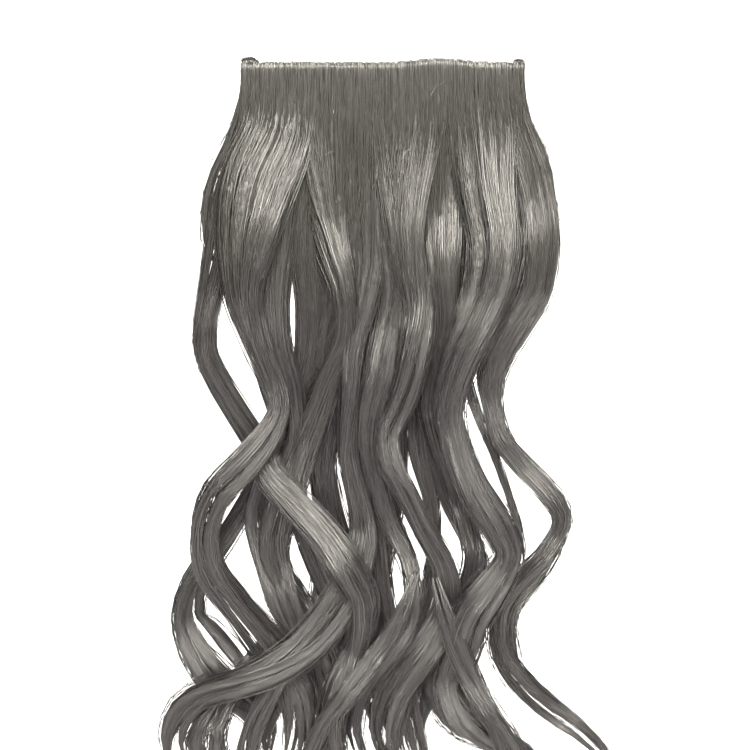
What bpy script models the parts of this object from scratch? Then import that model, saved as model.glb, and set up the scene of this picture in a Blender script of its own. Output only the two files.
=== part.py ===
"""A clip-in hair extension: a wavy fall of hair sewn to a fabric band, with three snap clips behind the band.

The band runs along X, the hair hangs down -Z and its front faces -Y. The origin is the middle of the middle
clip's outer face, which is where the hairpiece is clipped on.
"""

from collections import namedtuple
from math import cos, pi, sin

import bmesh
import bpy
from mathutils import Vector

# Driving sizes, in metres
WEFT_WIDTH = 0.170
FALL_LENGTH = 0.443
FALL_DEPTH = 0.066
CURTAIN_THICKNESS = 0.0036
BAND_HEIGHT = 0.013
BAND_THICKNESS = 0.0014
ROLL_HEIGHT = 0.0034
ROLL_HUMP = 0.0024
KNOT_LENGTH = 0.0100
KNOT_HEIGHT = 0.0070
CORNER_LENGTH = 0.0070
CORNER_HEIGHT = 0.0045
CLIP_WIDTH = 0.031
CLIP_HEIGHT = 0.0120
CLIP_THICKNESS = 0.0022
CLIP_INSET = 0.0095
CLIP_BAR = 0.0028
CLIP_RAIL = 0.0016
CLIP_SLOT = 0.0012
CLIP_TOOTH = 0.0018
CLIP_EDGE = 0.0003
CLIP_CORNER = 0.0042
CLEARANCE = 0.0003

# Shares and counts
LOCK_FLATNESS = 0.46
LOCK_SIDES = 6
FULL_LOCK_DOWN = 22
CURVE_STEPS = 12
RING_STEP = 0.019
TURN_REACH = 0.020
LEAST_RINGS = 5
ROUNDING_STEPS = 5
LUMP_SEGMENTS = 10
LUMP_RINGS = 6
LUMP_DEPTH_SHARE = 1.02

# Places that follow from the sizes
BAND_BOTTOM = -BAND_HEIGHT / 2
BAND_BACK = -CLIP_THICKNESS - CLEARANCE
BAND_FRONT = BAND_BACK - BAND_THICKNESS
CURTAIN_TOP = BAND_HEIGHT / 2 - ROLL_HEIGHT - CLEARANCE
CURTAIN_BACK = BAND_FRONT - CLEARANCE
CURTAIN_MIDDLE = CURTAIN_BACK - CURTAIN_THICKNESS / 2
CURTAIN_FRONT = CURTAIN_BACK - CURTAIN_THICKNESS
FALL_TOP = BAND_BOTTOM - CLEARANCE
CLIP_SPACING = (WEFT_WIDTH - CLIP_WIDTH) / 2 - CLIP_INSET

# Where each lock bends. down is in hundredths of FALL_LENGTH below the band, across and width in hundredths of
# WEFT_WIDTH from its middle, and forward in hundredths of FALL_DEPTH in front of the curtain.
Bend = namedtuple("Bend", "down across forward width")

LOCKS = {
    "left_wisp": [
        Bend(0, -50, 0, 4), Bend(4, -54, 1, 3), Bend(9, -57, 2, 3), Bend(14, -61, 3, 3),
        Bend(19, -62, 2, 3), Bend(25, -60, 0, 5),
    ],
    "left_outer": [
        Bend(0, -44, 0, 10), Bend(8, -47, 0, 10), Bend(15, -53, 2, 10), Bend(23, -57, 4, 10),
        Bend(31, -62, 0, 9), Bend(36, -63, -5, 9), Bend(40, -59, -9, 9), Bend(45, -51, -14, 9),
        Bend(51, -41, -20, 9), Bend(56, -34, -25, 9), Bend(62, -26, -27, 9), Bend(67, -21, -24, 10),
        Bend(73, -23, -18, 10), Bend(78, -30, -14, 9), Bend(83, -39, -12, 9), Bend(89, -44, -14, 7),
        Bend(95, -38, -18, 4),
    ],
    "left_front": [
        Bend(0, -36, 0, 16), Bend(6, -37, 4, 18), Bend(12, -42, 8, 20), Bend(18, -45, 12, 20),
        Bend(23, -47, 15, 18), Bend(29, -48, 15, 14), Bend(36, -43, 12, 11), Bend(42, -37, 12, 9),
        Bend(46, -39, 16, 10), Bend(51, -48, 24, 12), Bend(55, -57, 28, 12), Bend(60, -61, 24, 11),
        Bend(65, -59, 18, 11), Bend(70, -50, 12, 10), Bend(75, -40, 8, 11), Bend(79, -34, 8, 12),
        Bend(84, -29, 12, 11), Bend(91, -31, 18, 9), Bend(98, -39, 18, 4),
    ],
    "left_inner": [
        Bend(3, -30, -2, 9), Bend(12, -32, -3, 9), Bend(20, -36, -2, 10), Bend(28, -39, 2, 10),
        Bend(35, -38, 4, 9), Bend(41, -34, 2, 9), Bend(47, -33, -6, 9), Bend(53, -39, -12, 10),
        Bend(59, -42, -14, 12), Bend(65, -38, -12, 12), Bend(71, -33, -6, 12), Bend(77, -26, -2, 10),
        Bend(83, -22, -2, 8), Bend(90, -27, -4, 4),
    ],
    "left_curl": [
        Bend(3, -26, -3, 9), Bend(14, -27, -5, 10), Bend(22, -27, -6, 12), Bend(30, -25, -8, 12),
        Bend(38, -27, -12, 10), Bend(44, -33, -16, 8), Bend(50, -39, -22, 8), Bend(56, -47, -27, 9),
        Bend(62, -57, -28, 9), Bend(67, -67, -24, 10), Bend(72, -70, -18, 11), Bend(76, -65, -14, 15),
        Bend(80, -56, -14, 15), Bend(84, -46, -18, 11), Bend(88, -41, -24, 8), Bend(93, -44, -26, 6),
        Bend(98, -50, -22, 3),
    ],
    "middle_left": [
        Bend(0, -20, 0, 13), Bend(8, -21, 3, 13), Bend(16, -20, 7, 13), Bend(22, -17, 9, 11),
        Bend(28, -13, 8, 10), Bend(34, -13, 4, 10), Bend(40, -19, 0, 11), Bend(46, -25, -4, 12),
        Bend(51, -30, -6, 12), Bend(57, -35, -6, 11), Bend(62, -38, -4, 10), Bend(66, -36, -4, 9),
        Bend(71, -29, -6, 9), Bend(78, -20, -8, 9), Bend(85, -18, -12, 9), Bend(92, -25, -12, 6),
        Bend(98, -33, -8, 3),
    ],
    "left_sweep": [
        Bend(0, -6, 0, 12), Bend(8, -6, -1, 12), Bend(16, -5, -3, 13), Bend(23, -4, -2, 12),
        Bend(29, -6, 2, 12), Bend(35, -10, 6, 11), Bend(42, -11, 8, 10), Bend(50, -12, 5, 9),
        Bend(59, -7, 0, 9), Bend(64, -8, 6, 10), Bend(70, -15, 20, 11), Bend(75, -25, 30, 12),
        Bend(78, -36, 34, 12), Bend(80, -48, 32, 11), Bend(82, -62, 26, 11), Bend(85, -71, 20, 11),
        Bend(89, -74, 16, 9), Bend(93, -70, 14, 7), Bend(97, -63, 16, 4),
    ],
    "left_tail": [
        Bend(74, -38, -4, 8), Bend(79, -47, 4, 9), Bend(84, -57, 8, 10), Bend(89, -61, 4, 12),
        Bend(94, -56, 0, 8), Bend(99, -47, 2, 3),
    ],
    "shining_lock": [
        Bend(43, -36, 4, 6), Bend(48, -41, 4, 8), Bend(52, -40, 8, 9), Bend(56, -31, 14, 10),
        Bend(61, -20, 18, 10), Bend(66, -12, 20, 10), Bend(70, -8, 18, 10), Bend(75, -10, 14, 10),
        Bend(81, -17, 12, 10), Bend(86, -20, 14, 9), Bend(92, -16, 18, 7), Bend(98, -8, 18, 3),
    ],
    "middle_back": [
        Bend(3, -10, -3, 10), Bend(16, -10, -5, 12), Bend(26, -14, -10, 12), Bend(36, -19, -14, 12),
        Bend(46, -19, -18, 11), Bend(52, -21, -20, 11), Bend(58, -19, -22, 11), Bend(64, -16, -26, 11),
        Bend(72, -20, -28, 11), Bend(80, -28, -26, 10), Bend(88, -24, -22, 9), Bend(95, -15, -22, 5),
    ],
    "middle": [
        Bend(0, 4, 0, 12), Bend(12, 5, 3, 12), Bend(21, 6, 7, 14), Bend(28, 7, 10, 14),
        Bend(33, 4, 8, 13), Bend(38, 1, 5, 12), Bend(44, -3, 2, 11), Bend(49, -4, -2, 10),
        Bend(54, -1, -4, 10), Bend(59, 3, -2, 10), Bend(64, 9, 4, 10), Bend(69, 11, 10, 10),
        Bend(73, 9, 12, 9), Bend(77, 1, 10, 9), Bend(82, -9, 4, 9), Bend(87, -12, -2, 9),
        Bend(92, -8, -4, 7), Bend(98, 0, 0, 3),
    ],
    "middle_right": [
        Bend(0, 13, 0, 12), Bend(7, 12, 3, 12), Bend(15, 10, 8, 12), Bend(23, 11, 13, 12),
        Bend(30, 14, 16, 12), Bend(36, 12, 16, 12), Bend(42, 8, 14, 11), Bend(47, 2, 14, 10),
        Bend(51, 3, 17, 10), Bend(55, 8, 20, 9), Bend(60, 14, 20, 9), Bend(65, 21, 16, 9),
        Bend(70, 22, 12, 10), Bend(74, 18, 10, 10), Bend(78, 11, 10, 10), Bend(82, 4, 12, 10),
        Bend(87, 1, 14, 9), Bend(93, 5, 12, 6), Bend(100, 12, 8, 3),
    ],
    "right_back": [
        Bend(3, 12, -3, 10), Bend(16, 12, -5, 13), Bend(26, 8, -10, 13), Bend(36, 3, -14, 12),
        Bend(46, 4, -18, 12), Bend(56, 4, -22, 11), Bend(64, 0, -26, 11), Bend(72, -3, -28, 11),
        Bend(80, -4, -26, 10), Bend(88, 2, -22, 9), Bend(95, 9, -22, 5),
    ],
    "right_inner": [
        Bend(0, 21, 0, 12), Bend(12, 21, 1, 12), Bend(20, 21, 4, 14), Bend(26, 21, 6, 13),
        Bend(32, 22, 4, 11), Bend(37, 20, 2, 10), Bend(43, 17, -2, 9), Bend(48, 20, -6, 9),
        Bend(53, 25, -8, 9), Bend(59, 30, -8, 9), Bend(64, 33, -12, 9), Bend(70, 30, -18, 10),
        Bend(75, 24, -20, 10), Bend(80, 20, -16, 10), Bend(85, 25, -10, 10), Bend(88, 37, -6, 10),
        Bend(91, 50, -6, 8), Bend(96, 60, -8, 4),
    ],
    "right_front": [
        Bend(0, 34, 0, 14), Bend(7, 36, 4, 15), Bend(14, 38, 9, 15), Bend(21, 41, 14, 15),
        Bend(27, 39, 18, 15), Bend(32, 34, 20, 14), Bend(37, 28, 20, 13), Bend(43, 24, 18, 12),
        Bend(48, 26, 20, 12), Bend(54, 32, 26, 12), Bend(59, 40, 30, 11), Bend(63, 44, 30, 9),
        Bend(67, 39, 26, 11), Bend(71, 31, 22, 14), Bend(76, 27, 18, 15), Bend(81, 22, 14, 12),
        Bend(85, 27, 12, 13), Bend(88, 38, 14, 11), Bend(91, 51, 18, 9), Bend(96, 60, 18, 4),
    ],
    "right_under": [
        Bend(3, 32, -3, 10), Bend(16, 32, -5, 12), Bend(26, 32, -10, 12), Bend(34, 27, -14, 11),
        Bend(42, 16, -18, 10), Bend(48, 15, -20, 10), Bend(53, 20, -22, 9), Bend(58, 26, -24, 8),
        Bend(64, 34, -26, 8), Bend(70, 31, -26, 9), Bend(76, 22, -24, 10), Bend(82, 13, -22, 11),
        Bend(88, 9, -20, 9), Bend(94, 14, -20, 5),
    ],
    "right_outer": [
        Bend(0, 44, 0, 10), Bend(5, 47, 1, 10), Bend(10, 51, 3, 11), Bend(16, 54, 5, 11),
        Bend(22, 55, 6, 12), Bend(28, 53, 4, 13), Bend(32, 47, 2, 14), Bend(36, 41, 0, 14),
        Bend(40, 38, 0, 12), Bend(44, 39, 2, 9), Bend(48, 42, 6, 11), Bend(52, 50, 10, 11),
        Bend(56, 59, 12, 11), Bend(59, 62, 12, 9), Bend(63, 57, 8, 9), Bend(67, 48, 4, 8),
        Bend(71, 42, 2, 8), Bend(76, 42, 4, 8), Bend(80, 48, 8, 9), Bend(84, 58, 12, 10),
        Bend(87, 68, 12, 9), Bend(91, 77, 8, 8), Bend(96, 78, 4, 4),
    ],
    "right_twist": [
        Bend(55, 57, 4, 5), Bend(60, 62, 0, 5), Bend(66, 56, -4, 5), Bend(70, 48, -4, 5),
        Bend(73, 45, -2, 5), Bend(77, 45, 2, 5), Bend(81, 49, 6, 5),
    ],
}

# The flat curtain that the locks leave. down, left and right are shares as above; thick is in hundredths of
# CURTAIN_THICKNESS.
Sheet = namedtuple("Sheet", "down left right thick")
CURTAIN = [
    Sheet(0, -50, 49, 100), Sheet(5, -49, 50, 110), Sheet(10, -51, 52, 120), Sheet(16, -53, 54, 130),
    Sheet(22, -52, 54, 120), Sheet(28, -42, 49, 90), Sheet(33, -22, 36, 60),
]

# Lift of the seam roll along the band: across in hundredths of WEFT_WIDTH, lift in hundredths of ROLL_HUMP.
Lift = namedtuple("Lift", "across lift")
ROLL = [
    Lift(-50, 0), Lift(-30, 8), Lift(-12, 0), Lift(4, 6), Lift(11, 55), Lift(19, 100), Lift(27, 70),
    Lift(34, 12), Lift(42, 0), Lift(50, 10),
]


def clear_scene():
    for old in list(bpy.data.objects):
        bpy.data.objects.remove(old, do_unlink=True)


def material(name, colour, roughness, metallic=0.0):
    made = bpy.data.materials.new(name)
    made.use_nodes = True
    shader = made.node_tree.nodes["Principled BSDF"]
    shader.inputs["Base Color"].default_value = (*colour, 1.0)
    shader.inputs["Roughness"].default_value = roughness
    shader.inputs["Metallic"].default_value = metallic
    made.diffuse_color = (*colour, 1.0)
    return made


def object_from(name, bm, finish):
    """A named object with this mesh, its faces turned outwards."""
    bmesh.ops.recalc_face_normals(bm, faces=bm.faces)
    mesh = bpy.data.meshes.new(name)
    bm.to_mesh(mesh)
    bm.free()
    mesh.materials.append(finish)
    made = bpy.data.objects.new(name, mesh)
    bpy.context.scene.collection.objects.link(made)
    return made


def hide_helper(helper):
    helper.hide_render = True
    helper.display_type = "WIRE"


def loft(bm, rings):
    """Skins closed rings of equal length and caps both ends."""
    loops = [[bm.verts.new(point) for point in ring] for ring in rings]
    for one, two in zip(loops, loops[1:]):
        for i in range(len(one)):
            j = (i + 1) % len(one)
            bm.faces.new((one[i], one[j], two[j], two[i]))
    bm.faces.new(loops[0])
    bm.faces.new(loops[-1][::-1])


def curve_at(rows, t):
    """A point of the smooth curve through the rows, each a tuple of numbers, at t from 0 to len(rows) - 1."""
    i = min(int(t), len(rows) - 2)
    u = t - i
    before, start, end, after = (rows[max(0, min(len(rows) - 1, i + k))] for k in (-1, 0, 1, 2))
    return tuple(
        0.5 * (2 * b + (c - a) * u + (2 * a - 5 * b + 4 * c - d) * u**2 + (3 * b - a - 3 * c + d) * u**3)
        for a, b, c, d in zip(before, start, end, after)
    )


def ease(t):
    t = max(0.0, min(1.0, t))
    return t * t * (3 - 2 * t)


def place(across, forward, down):
    """A point of the fall from its shares."""
    return Vector((
        across / 100 * WEFT_WIDTH,
        CURTAIN_MIDDLE - forward / 100 * FALL_DEPTH,
        FALL_TOP - down / 100 * FALL_LENGTH,
    ))


def lock_rings(bends):
    """Flat six-sided sections along a lock, thin as the curtain at its root and fuller further down."""
    fine = CURVE_STEPS * (len(bends) - 1)
    line = [curve_at(bends, i / CURVE_STEPS) for i in range(fine + 1)]
    points = [place(p[1], p[2], p[0]) for p in line]
    steps = [two - one for one, two in zip(points, points[1:])]
    run = [0.0]
    for i, step in enumerate(steps):
        turn = step.angle(steps[i - 1]) if i else 0.0
        run.append(run[-1] + step.length + TURN_REACH * turn)
    count = max(LEAST_RINGS, round(run[-1] / RING_STEP))
    rings = []
    at = 0
    for k in range(count + 1):
        goal = run[-1] * k / count
        while at < fine - 1 and run[at + 1] < goal:
            at += 1
        share = (goal - run[at]) / (run[at + 1] - run[at])
        centre = points[at].lerp(points[at + 1], share)
        down = line[at][0] + (line[at + 1][0] - line[at][0]) * share
        width = (line[at][3] + (line[at + 1][3] - line[at][3]) * share) / 100 * WEFT_WIDTH
        along = (points[min(at + 2, fine)] - points[max(at - 1, 0)]).normalized()
        side = along.cross(Vector((0, 1, 0))).normalized()
        front = side.cross(along).normalized()
        full = ease(down / FULL_LOCK_DOWN)
        thick = CURTAIN_THICKNESS * (1 - full) + width * LOCK_FLATNESS * full
        rings.append([
            centre + side * (width / 2 * cos(2 * pi * n / LOCK_SIDES))
            + front * (thick / 2 / sin(pi / 3) * sin(2 * pi * n / LOCK_SIDES))
            for n in range(LOCK_SIDES)
        ])
    return rings


def curtain_rings():
    """Level sections of the flat curtain, the first up under the seam roll."""
    rows = []
    for row in CURTAIN:
        middle = place(0, 0, row.down)
        rows.append((middle.z, row.left / 100 * WEFT_WIDTH, row.right / 100 * WEFT_WIDTH, row.thick / 100))
    rows.insert(0, (CURTAIN_TOP, rows[0][1], rows[0][2], rows[0][3]))
    rings = []
    for z, left, right, thick in rows:
        half = thick * CURTAIN_THICKNESS / 2
        rings.append([
            Vector((left, CURTAIN_MIDDLE, z)),
            Vector((left + half, CURTAIN_MIDDLE - half, z)),
            Vector((right - half, CURTAIN_MIDDLE - half, z)),
            Vector((right, CURTAIN_MIDDLE, z)),
            Vector((right - half, CURTAIN_MIDDLE + half, z)),
            Vector((left + half, CURTAIN_MIDDLE + half, z)),
        ])
    return rings


def make_hair(finish):
    """The curtain with every lock fused to it, by the solver that keeps so many crossing locks closed."""
    bm = bmesh.new()
    loft(bm, curtain_rings())
    hair = object_from("hair_fall", bm, finish)
    for name, bends in LOCKS.items():
        bm = bmesh.new()
        loft(bm, lock_rings(bends))
        lock = object_from("lock_" + name, bm, finish)
        hide_helper(lock)
        fuse = hair.modifiers.new("fuse_" + name, "BOOLEAN")
        fuse.operation = "UNION"
        fuse.solver = "MANIFOLD"
        fuse.object = lock
    return hair


def band_rings():
    """Sections of the tape with the seam roll along its top, from end to end."""
    depth = CURTAIN_FRONT - BAND_BACK
    rings = []
    for row in ROLL:
        x = row.across / 100 * WEFT_WIDTH
        top = BAND_HEIGHT / 2 + row.lift / 100 * ROLL_HUMP
        low = BAND_HEIGHT / 2 - ROLL_HEIGHT
        rounding = ROLL_HEIGHT / 2
        ring = [
            Vector((x, BAND_FRONT, BAND_BOTTOM)),
            Vector((x, BAND_BACK, BAND_BOTTOM)),
            Vector((x, BAND_BACK, low)),
        ]
        for i in range(ROUNDING_STEPS + 1):
            turn = pi * i / ROUNDING_STEPS
            ring.append(Vector((
                x,
                BAND_BACK + depth * (1 - cos(turn)) / 2,
                top - rounding + rounding * sin(turn),
            )))
        ring.append(Vector((x, CURTAIN_FRONT, low)))
        ring.append(Vector((x, BAND_FRONT, low)))
        rings.append(ring)
    return rings


def end_lump(name, x, length, height, finish):
    """A knotted end of the seam, fused to the band."""
    bm = bmesh.new()
    bmesh.ops.create_uvsphere(bm, u_segments=LUMP_SEGMENTS, v_segments=LUMP_RINGS, radius=0.5)
    depth = (BAND_BACK - CURTAIN_FRONT) * LUMP_DEPTH_SHARE
    bmesh.ops.scale(bm, vec=(length, depth, height), verts=bm.verts)
    bmesh.ops.translate(bm, vec=(x, (BAND_BACK + CURTAIN_FRONT) / 2, BAND_HEIGHT / 2), verts=bm.verts)
    lump = object_from(name, bm, finish)
    hide_helper(lump)
    return lump


def make_band(finish):
    bm = bmesh.new()
    loft(bm, band_rings())
    band = object_from("weft_band", bm, finish)
    ends = (
        end_lump("left_knot", -WEFT_WIDTH / 2 + KNOT_LENGTH / 2, KNOT_LENGTH, KNOT_HEIGHT, finish),
        end_lump("right_corner", WEFT_WIDTH / 2 - CORNER_LENGTH / 2, CORNER_LENGTH, CORNER_HEIGHT, finish),
    )
    for lump in ends:
        fuse = band.modifiers.new("fuse_" + lump.name, "BOOLEAN")
        fuse.operation = "UNION"
        fuse.object = lump
    return band


def clip_outline():
    """The clip's oblong with its rounded corners, counter-clockwise in X and Z."""
    radius = min(CLIP_CORNER, CLIP_HEIGHT / 2)
    points = []
    for k, (sx, sz) in enumerate(((1, 1), (-1, 1), (-1, -1), (1, -1))):
        for i in range(ROUNDING_STEPS + 1):
            turn = pi / 2 * (k + i / ROUNDING_STEPS)
            points.append((
                sx * (CLIP_WIDTH / 2 - radius) + radius * cos(turn),
                sz * (CLIP_HEIGHT / 2 - radius) + radius * sin(turn),
            ))
    return points


def comb_outline():
    """The clip's window, counter-clockwise: a long slot above the lower rail, and slots rising between the teeth."""
    low = -CLIP_HEIGHT / 2 + CLIP_RAIL
    shelf = low + CLIP_RAIL
    high = CLIP_HEIGHT / 2 - CLIP_BAR
    pitch = CLIP_SLOT + CLIP_TOOTH
    slots = max(2, int((CLIP_WIDTH - 4 * CLIP_RAIL) / pitch))
    reach = (slots * pitch - CLIP_TOOTH) / 2
    points = [(-reach, low), (reach, low)]
    for i in range(slots):
        right = reach - i * pitch
        left = right - CLIP_SLOT
        if i > 0:
            points.append((right, shelf))
        points += [(right, high), (left, high)]
        if i < slots - 1:
            points.append((left, shelf))
    return points


def plate(name, outline, thickness, back, finish):
    """An outline in X and Z made solid, from Y = back forwards to back - thickness."""
    bm = bmesh.new()
    loft(bm, [[Vector((x, y, z)) for x, z in outline] for y in (back - thickness, back)])
    return object_from(name, bm, finish)


def make_clips(finish):
    """Three like snap clips: an oblong plate whose window leaves the teeth of a comb."""
    window = plate("comb_window", comb_outline(), 3 * CLIP_THICKNESS, CLIP_THICKNESS, finish)
    hide_helper(window)
    for step, name in ((-1, "clip_left"), (0, "clip_middle"), (1, "clip_right")):
        clip = plate(name, clip_outline(), CLIP_THICKNESS, 0, finish)
        clip.location.x = step * CLIP_SPACING
        cutter = window.copy()
        cutter.name = name + "_window"
        cutter.parent = clip
        bpy.context.scene.collection.objects.link(cutter)
        cut = clip.modifiers.new("comb", "BOOLEAN")
        cut.operation = "DIFFERENCE"
        cut.object = cutter
        soften = clip.modifiers.new("soft_edges", "BEVEL")
        soften.width = CLIP_EDGE
        soften.segments = 1


def main():
    clear_scene()
    hair_dark = material("hair_dark", (0.035, 0.029, 0.026), 0.38)
    tape_dark = material("tape_dark", (0.030, 0.026, 0.024), 0.85)
    clip_enamel = material("clip_enamel", (0.020, 0.018, 0.017), 0.35, 0.6)
    make_band(tape_dark)
    make_hair(hair_dark)
    make_clips(clip_enamel)


main()
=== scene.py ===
"""The looks of a clip-in hair extension: combed locks, a sewn band, snap clips and a pale studio."""

from collections import namedtuple
from math import pi, radians

import bpy
import numpy as np
from bpy.props import FloatProperty, FloatVectorProperty, IntProperty, PointerProperty
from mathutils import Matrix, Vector


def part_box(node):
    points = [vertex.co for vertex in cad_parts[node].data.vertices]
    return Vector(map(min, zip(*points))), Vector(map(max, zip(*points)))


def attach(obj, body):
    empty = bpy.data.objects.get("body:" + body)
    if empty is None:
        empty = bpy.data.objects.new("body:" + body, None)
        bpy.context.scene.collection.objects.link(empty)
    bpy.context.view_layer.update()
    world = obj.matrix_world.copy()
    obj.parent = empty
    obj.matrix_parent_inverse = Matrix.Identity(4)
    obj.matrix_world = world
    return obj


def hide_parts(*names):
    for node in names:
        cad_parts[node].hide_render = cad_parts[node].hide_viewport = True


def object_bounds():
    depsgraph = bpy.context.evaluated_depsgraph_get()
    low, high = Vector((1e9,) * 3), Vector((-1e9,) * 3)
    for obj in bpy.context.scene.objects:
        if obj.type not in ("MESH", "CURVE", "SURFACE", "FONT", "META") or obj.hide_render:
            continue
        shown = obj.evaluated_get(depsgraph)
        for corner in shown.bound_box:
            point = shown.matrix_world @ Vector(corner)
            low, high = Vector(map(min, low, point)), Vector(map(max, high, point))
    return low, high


bl_info = {
    "name": "Clip-in hair extension",
    "version": (1, 0, 0),
    "blender": (4, 5, 0),
    "location": "3D View > Sidebar > Hairpiece",
    "description": "Dresses the solids of a clip-in hair extension with combed locks, stitches and a studio",
    "category": "Object",
}

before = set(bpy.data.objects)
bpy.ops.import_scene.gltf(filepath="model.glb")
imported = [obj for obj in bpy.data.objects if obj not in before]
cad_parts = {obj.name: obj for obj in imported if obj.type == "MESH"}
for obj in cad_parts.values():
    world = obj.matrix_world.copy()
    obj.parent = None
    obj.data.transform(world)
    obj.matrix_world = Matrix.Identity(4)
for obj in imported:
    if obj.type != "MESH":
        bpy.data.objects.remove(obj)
CAD_BOX = [list(corner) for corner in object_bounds()]
BAND_LOW, BAND_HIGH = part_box("weft_band")
SEED = 7

# Sizes of the solids, in metres
WEFT_WIDTH = BAND_HIGH.x - BAND_LOW.x
FALL_LENGTH = 0.443
FALL_DEPTH = 0.066
CURTAIN_THICKNESS = 0.0036
BAND_HEIGHT = 0.013
BAND_THICKNESS = 0.0014
ROLL_HEIGHT = 0.0034
ROLL_HUMP = 0.0024
CLEARANCE = 0.0003
LOCK_FLATNESS = 0.46
BAND_BACK = BAND_HIGH.y
BAND_FRONT = BAND_BACK - BAND_THICKNESS
CURTAIN_FRONT = BAND_FRONT - CLEARANCE - CURTAIN_THICKNESS
CURTAIN_MIDDLE = CURTAIN_FRONT + CURTAIN_THICKNESS / 2
BAND_TOP = BAND_HEIGHT / 2
BAND_BOTTOM = -BAND_HEIGHT / 2
FALL_TOP = BAND_BOTTOM - CLEARANCE
MIDDLE_HEIGHT = (CAD_BOX[0][2] + CAD_BOX[1][2]) / 2
# Hundredths of FALL_LENGTH from the band's lower edge up to the underside of the seam roll
ROOT_DOWN = -100 * (BAND_HEIGHT - ROLL_HEIGHT) / FALL_LENGTH

# How finely the locks are measured and cut: points between two bends, metres that a radian of bending
# counts as, and the least rings of a lock
FINE = 24
TURN_REACH = 0.020
LEAST_STEPS = 9
CORE_SIDES = 12
TUBE_SIDES = 3
THREAD_SIDES = 5
PINCHED = 0.00002
SHEET_EDGE = 0.00002
# Steps of the noise's lane from strand to strand and round a tuft's body
STRAND_LANE, CORE_LANE = 0.37, 0.21

# Depths of the fall, in hundredths of FALL_LENGTH: the deepest root of a lock that hangs from the seam, where
# a lock has left the pressed curtain, where its hair stops fanning out, how far down it comes into its own
# line, where it swings and shifts in full, and where the sheet between the curtain's strands stops
ROOTED_DOWN = 3
FULL_LOCK_DOWN = 22
SPREAD_DOWN = 34
SETTLE_DOWN = 18
EARLY_SETTLE = {"left_front": 12, "left_outer": 12, "right_outer": 14}
SWING_DOWN = 8
HELD_DOWN = 12
CORE_DOWN = 15
# How far the locks' hair stays inside the seam's ends
SEAM_INSET = 0.0006

# The knot and the lump at the ends of the seam
KNOT_LENGTH, KNOT_HEIGHT = 0.0100, 0.0070
CORNER_LENGTH, CORNER_HEIGHT = 0.0070, 0.0045

# How tufts differ from each other, from lowest to highest, as shares of their lock
TUFT_ASIDE = (-0.08, 0.08)
TUFT_DEEP = (0.25, 0.55)
TUFT_REACH_ACROSS = (1.05, 1.7)
TUFT_REACH_DEEP = (0.50, 0.64)
TUFT_START = (0.0, 0.04)
TUFT_END = (0.955, 1.0)
TUFT_TURNS = (0.8, 2.2)
TUFT_SHIFT = (-0.012, 0.012)
# Where a tuft starts to taper to its tip and how much it loses, and how thin it starts and how far on it has
# filled out if it starts within the fall
TAPER_FROM, TAPER_LOSS = 0.86, 0.80
START_FULLNESS, START_REACH = 0.25, 0.16
# How wide the front and the back layer of tufts spread, and how full a single tuft is
FRONT_SPREAD, BACK_SPREAD = 0.85, 0.6
LONE_TUFT = 0.95
# How far a tuft wanders in its lock, at its root and by how much more at its tip
TUFT_WANDER, TUFT_TIP_WANDER = 0.14, 0.45
# How much wider a tuft lies while it is pressed into the curtain
PRESSED_SPREAD = 1.35

# How the strands of a tuft differ, from lowest to highest
SHORT_SHARE = 0.25
SHORT_END = (0.55, 0.85)
LONG_END = (0.90, 1.02)
STRAND_PROUD = (0.75, 1.10)
STRAND_REACH = (0.90, 1.12)
STRAND_GIRTH = (0.75, 1.25)
LOOSE_REACH = (0.15, 0.9)
LOOSE_FROM = (0.15, 0.8)
LOOSE_GIRTH = 0.7
# How far on a strand has come loose, how much of a tuft's taper it keeps off, and how much the strands shift
LOOSE_OVER, LOOSE_TAPER, STRAND_SHIFT = 0.35, 0.25, 0.004
# The least strands of a tuft, the share of them that a back tuft has, and how far they sway round and off it
LEAST_STRANDS, BACK_STRANDS = 5, 0.55
TURN_SWAY, REACH_SWAY = 0.30, 0.05
# Where a strand starts to thin to its tip, and how much it loses
THIN_FROM, THIN_LOSS = 0.82, 0.8
# Where a tuft's body stops before its tip, how much its ridges differ, how proud it lies in the curtain
CORE_END, CORE_RIDGE, CORE_PROUD = 0.985, 0.08, 0.55
# How ragged the strands lie, at their roots and by how much more at their tips
RAGGED, RAGGED_TIP = 0.05, 0.26

# How far under the band the seam's strands end and how proud they lie, in metres, and where the curtain's
# strands end and how far forward they lie, in hundredths of FALL_LENGTH and FALL_DEPTH
SEAM_STRAND_LENGTH = (0.004, 0.060)
SEAM_STRAND_PROUD = (0.0002, 0.0009)
CURTAIN_STRAND_DOWN = (14, 31)
CURTAIN_STRAND_FORWARD = (-3.0, 1.0)
# The pressed sheet between them: rings and columns, its thickness as a share of the curtain's half, and how
# square its edges are
SHEET_RINGS, SHEET_COLUMNS = 40, 160
SHEET_FULLNESS, SHEET_SQUARENESS = 0.30, 8

# Strands wound round a lump: how many, how far along it they lie, how proud, how they lean and how far round
WOUND_STRANDS = 34
WOUND_ALONG = (-0.85, 0.85)
WOUND_PROUD = (1.02, 1.22)
WOUND_LEAN = (-0.35, 0.35)
WOUND_TURN = 2.2 * pi
# The fuzz that stands out of a lump: how many hairs, and their length in metres
FUZZ_HAIRS = 40
FUZZ_LENGTH = (0.0008, 0.0024)

# Where each lock bends, as in the solids: down in hundredths of FALL_LENGTH, across and width in hundredths
# of WEFT_WIDTH, forward in hundredths of FALL_DEPTH
Bend = namedtuple("Bend", "down across forward width")

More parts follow.
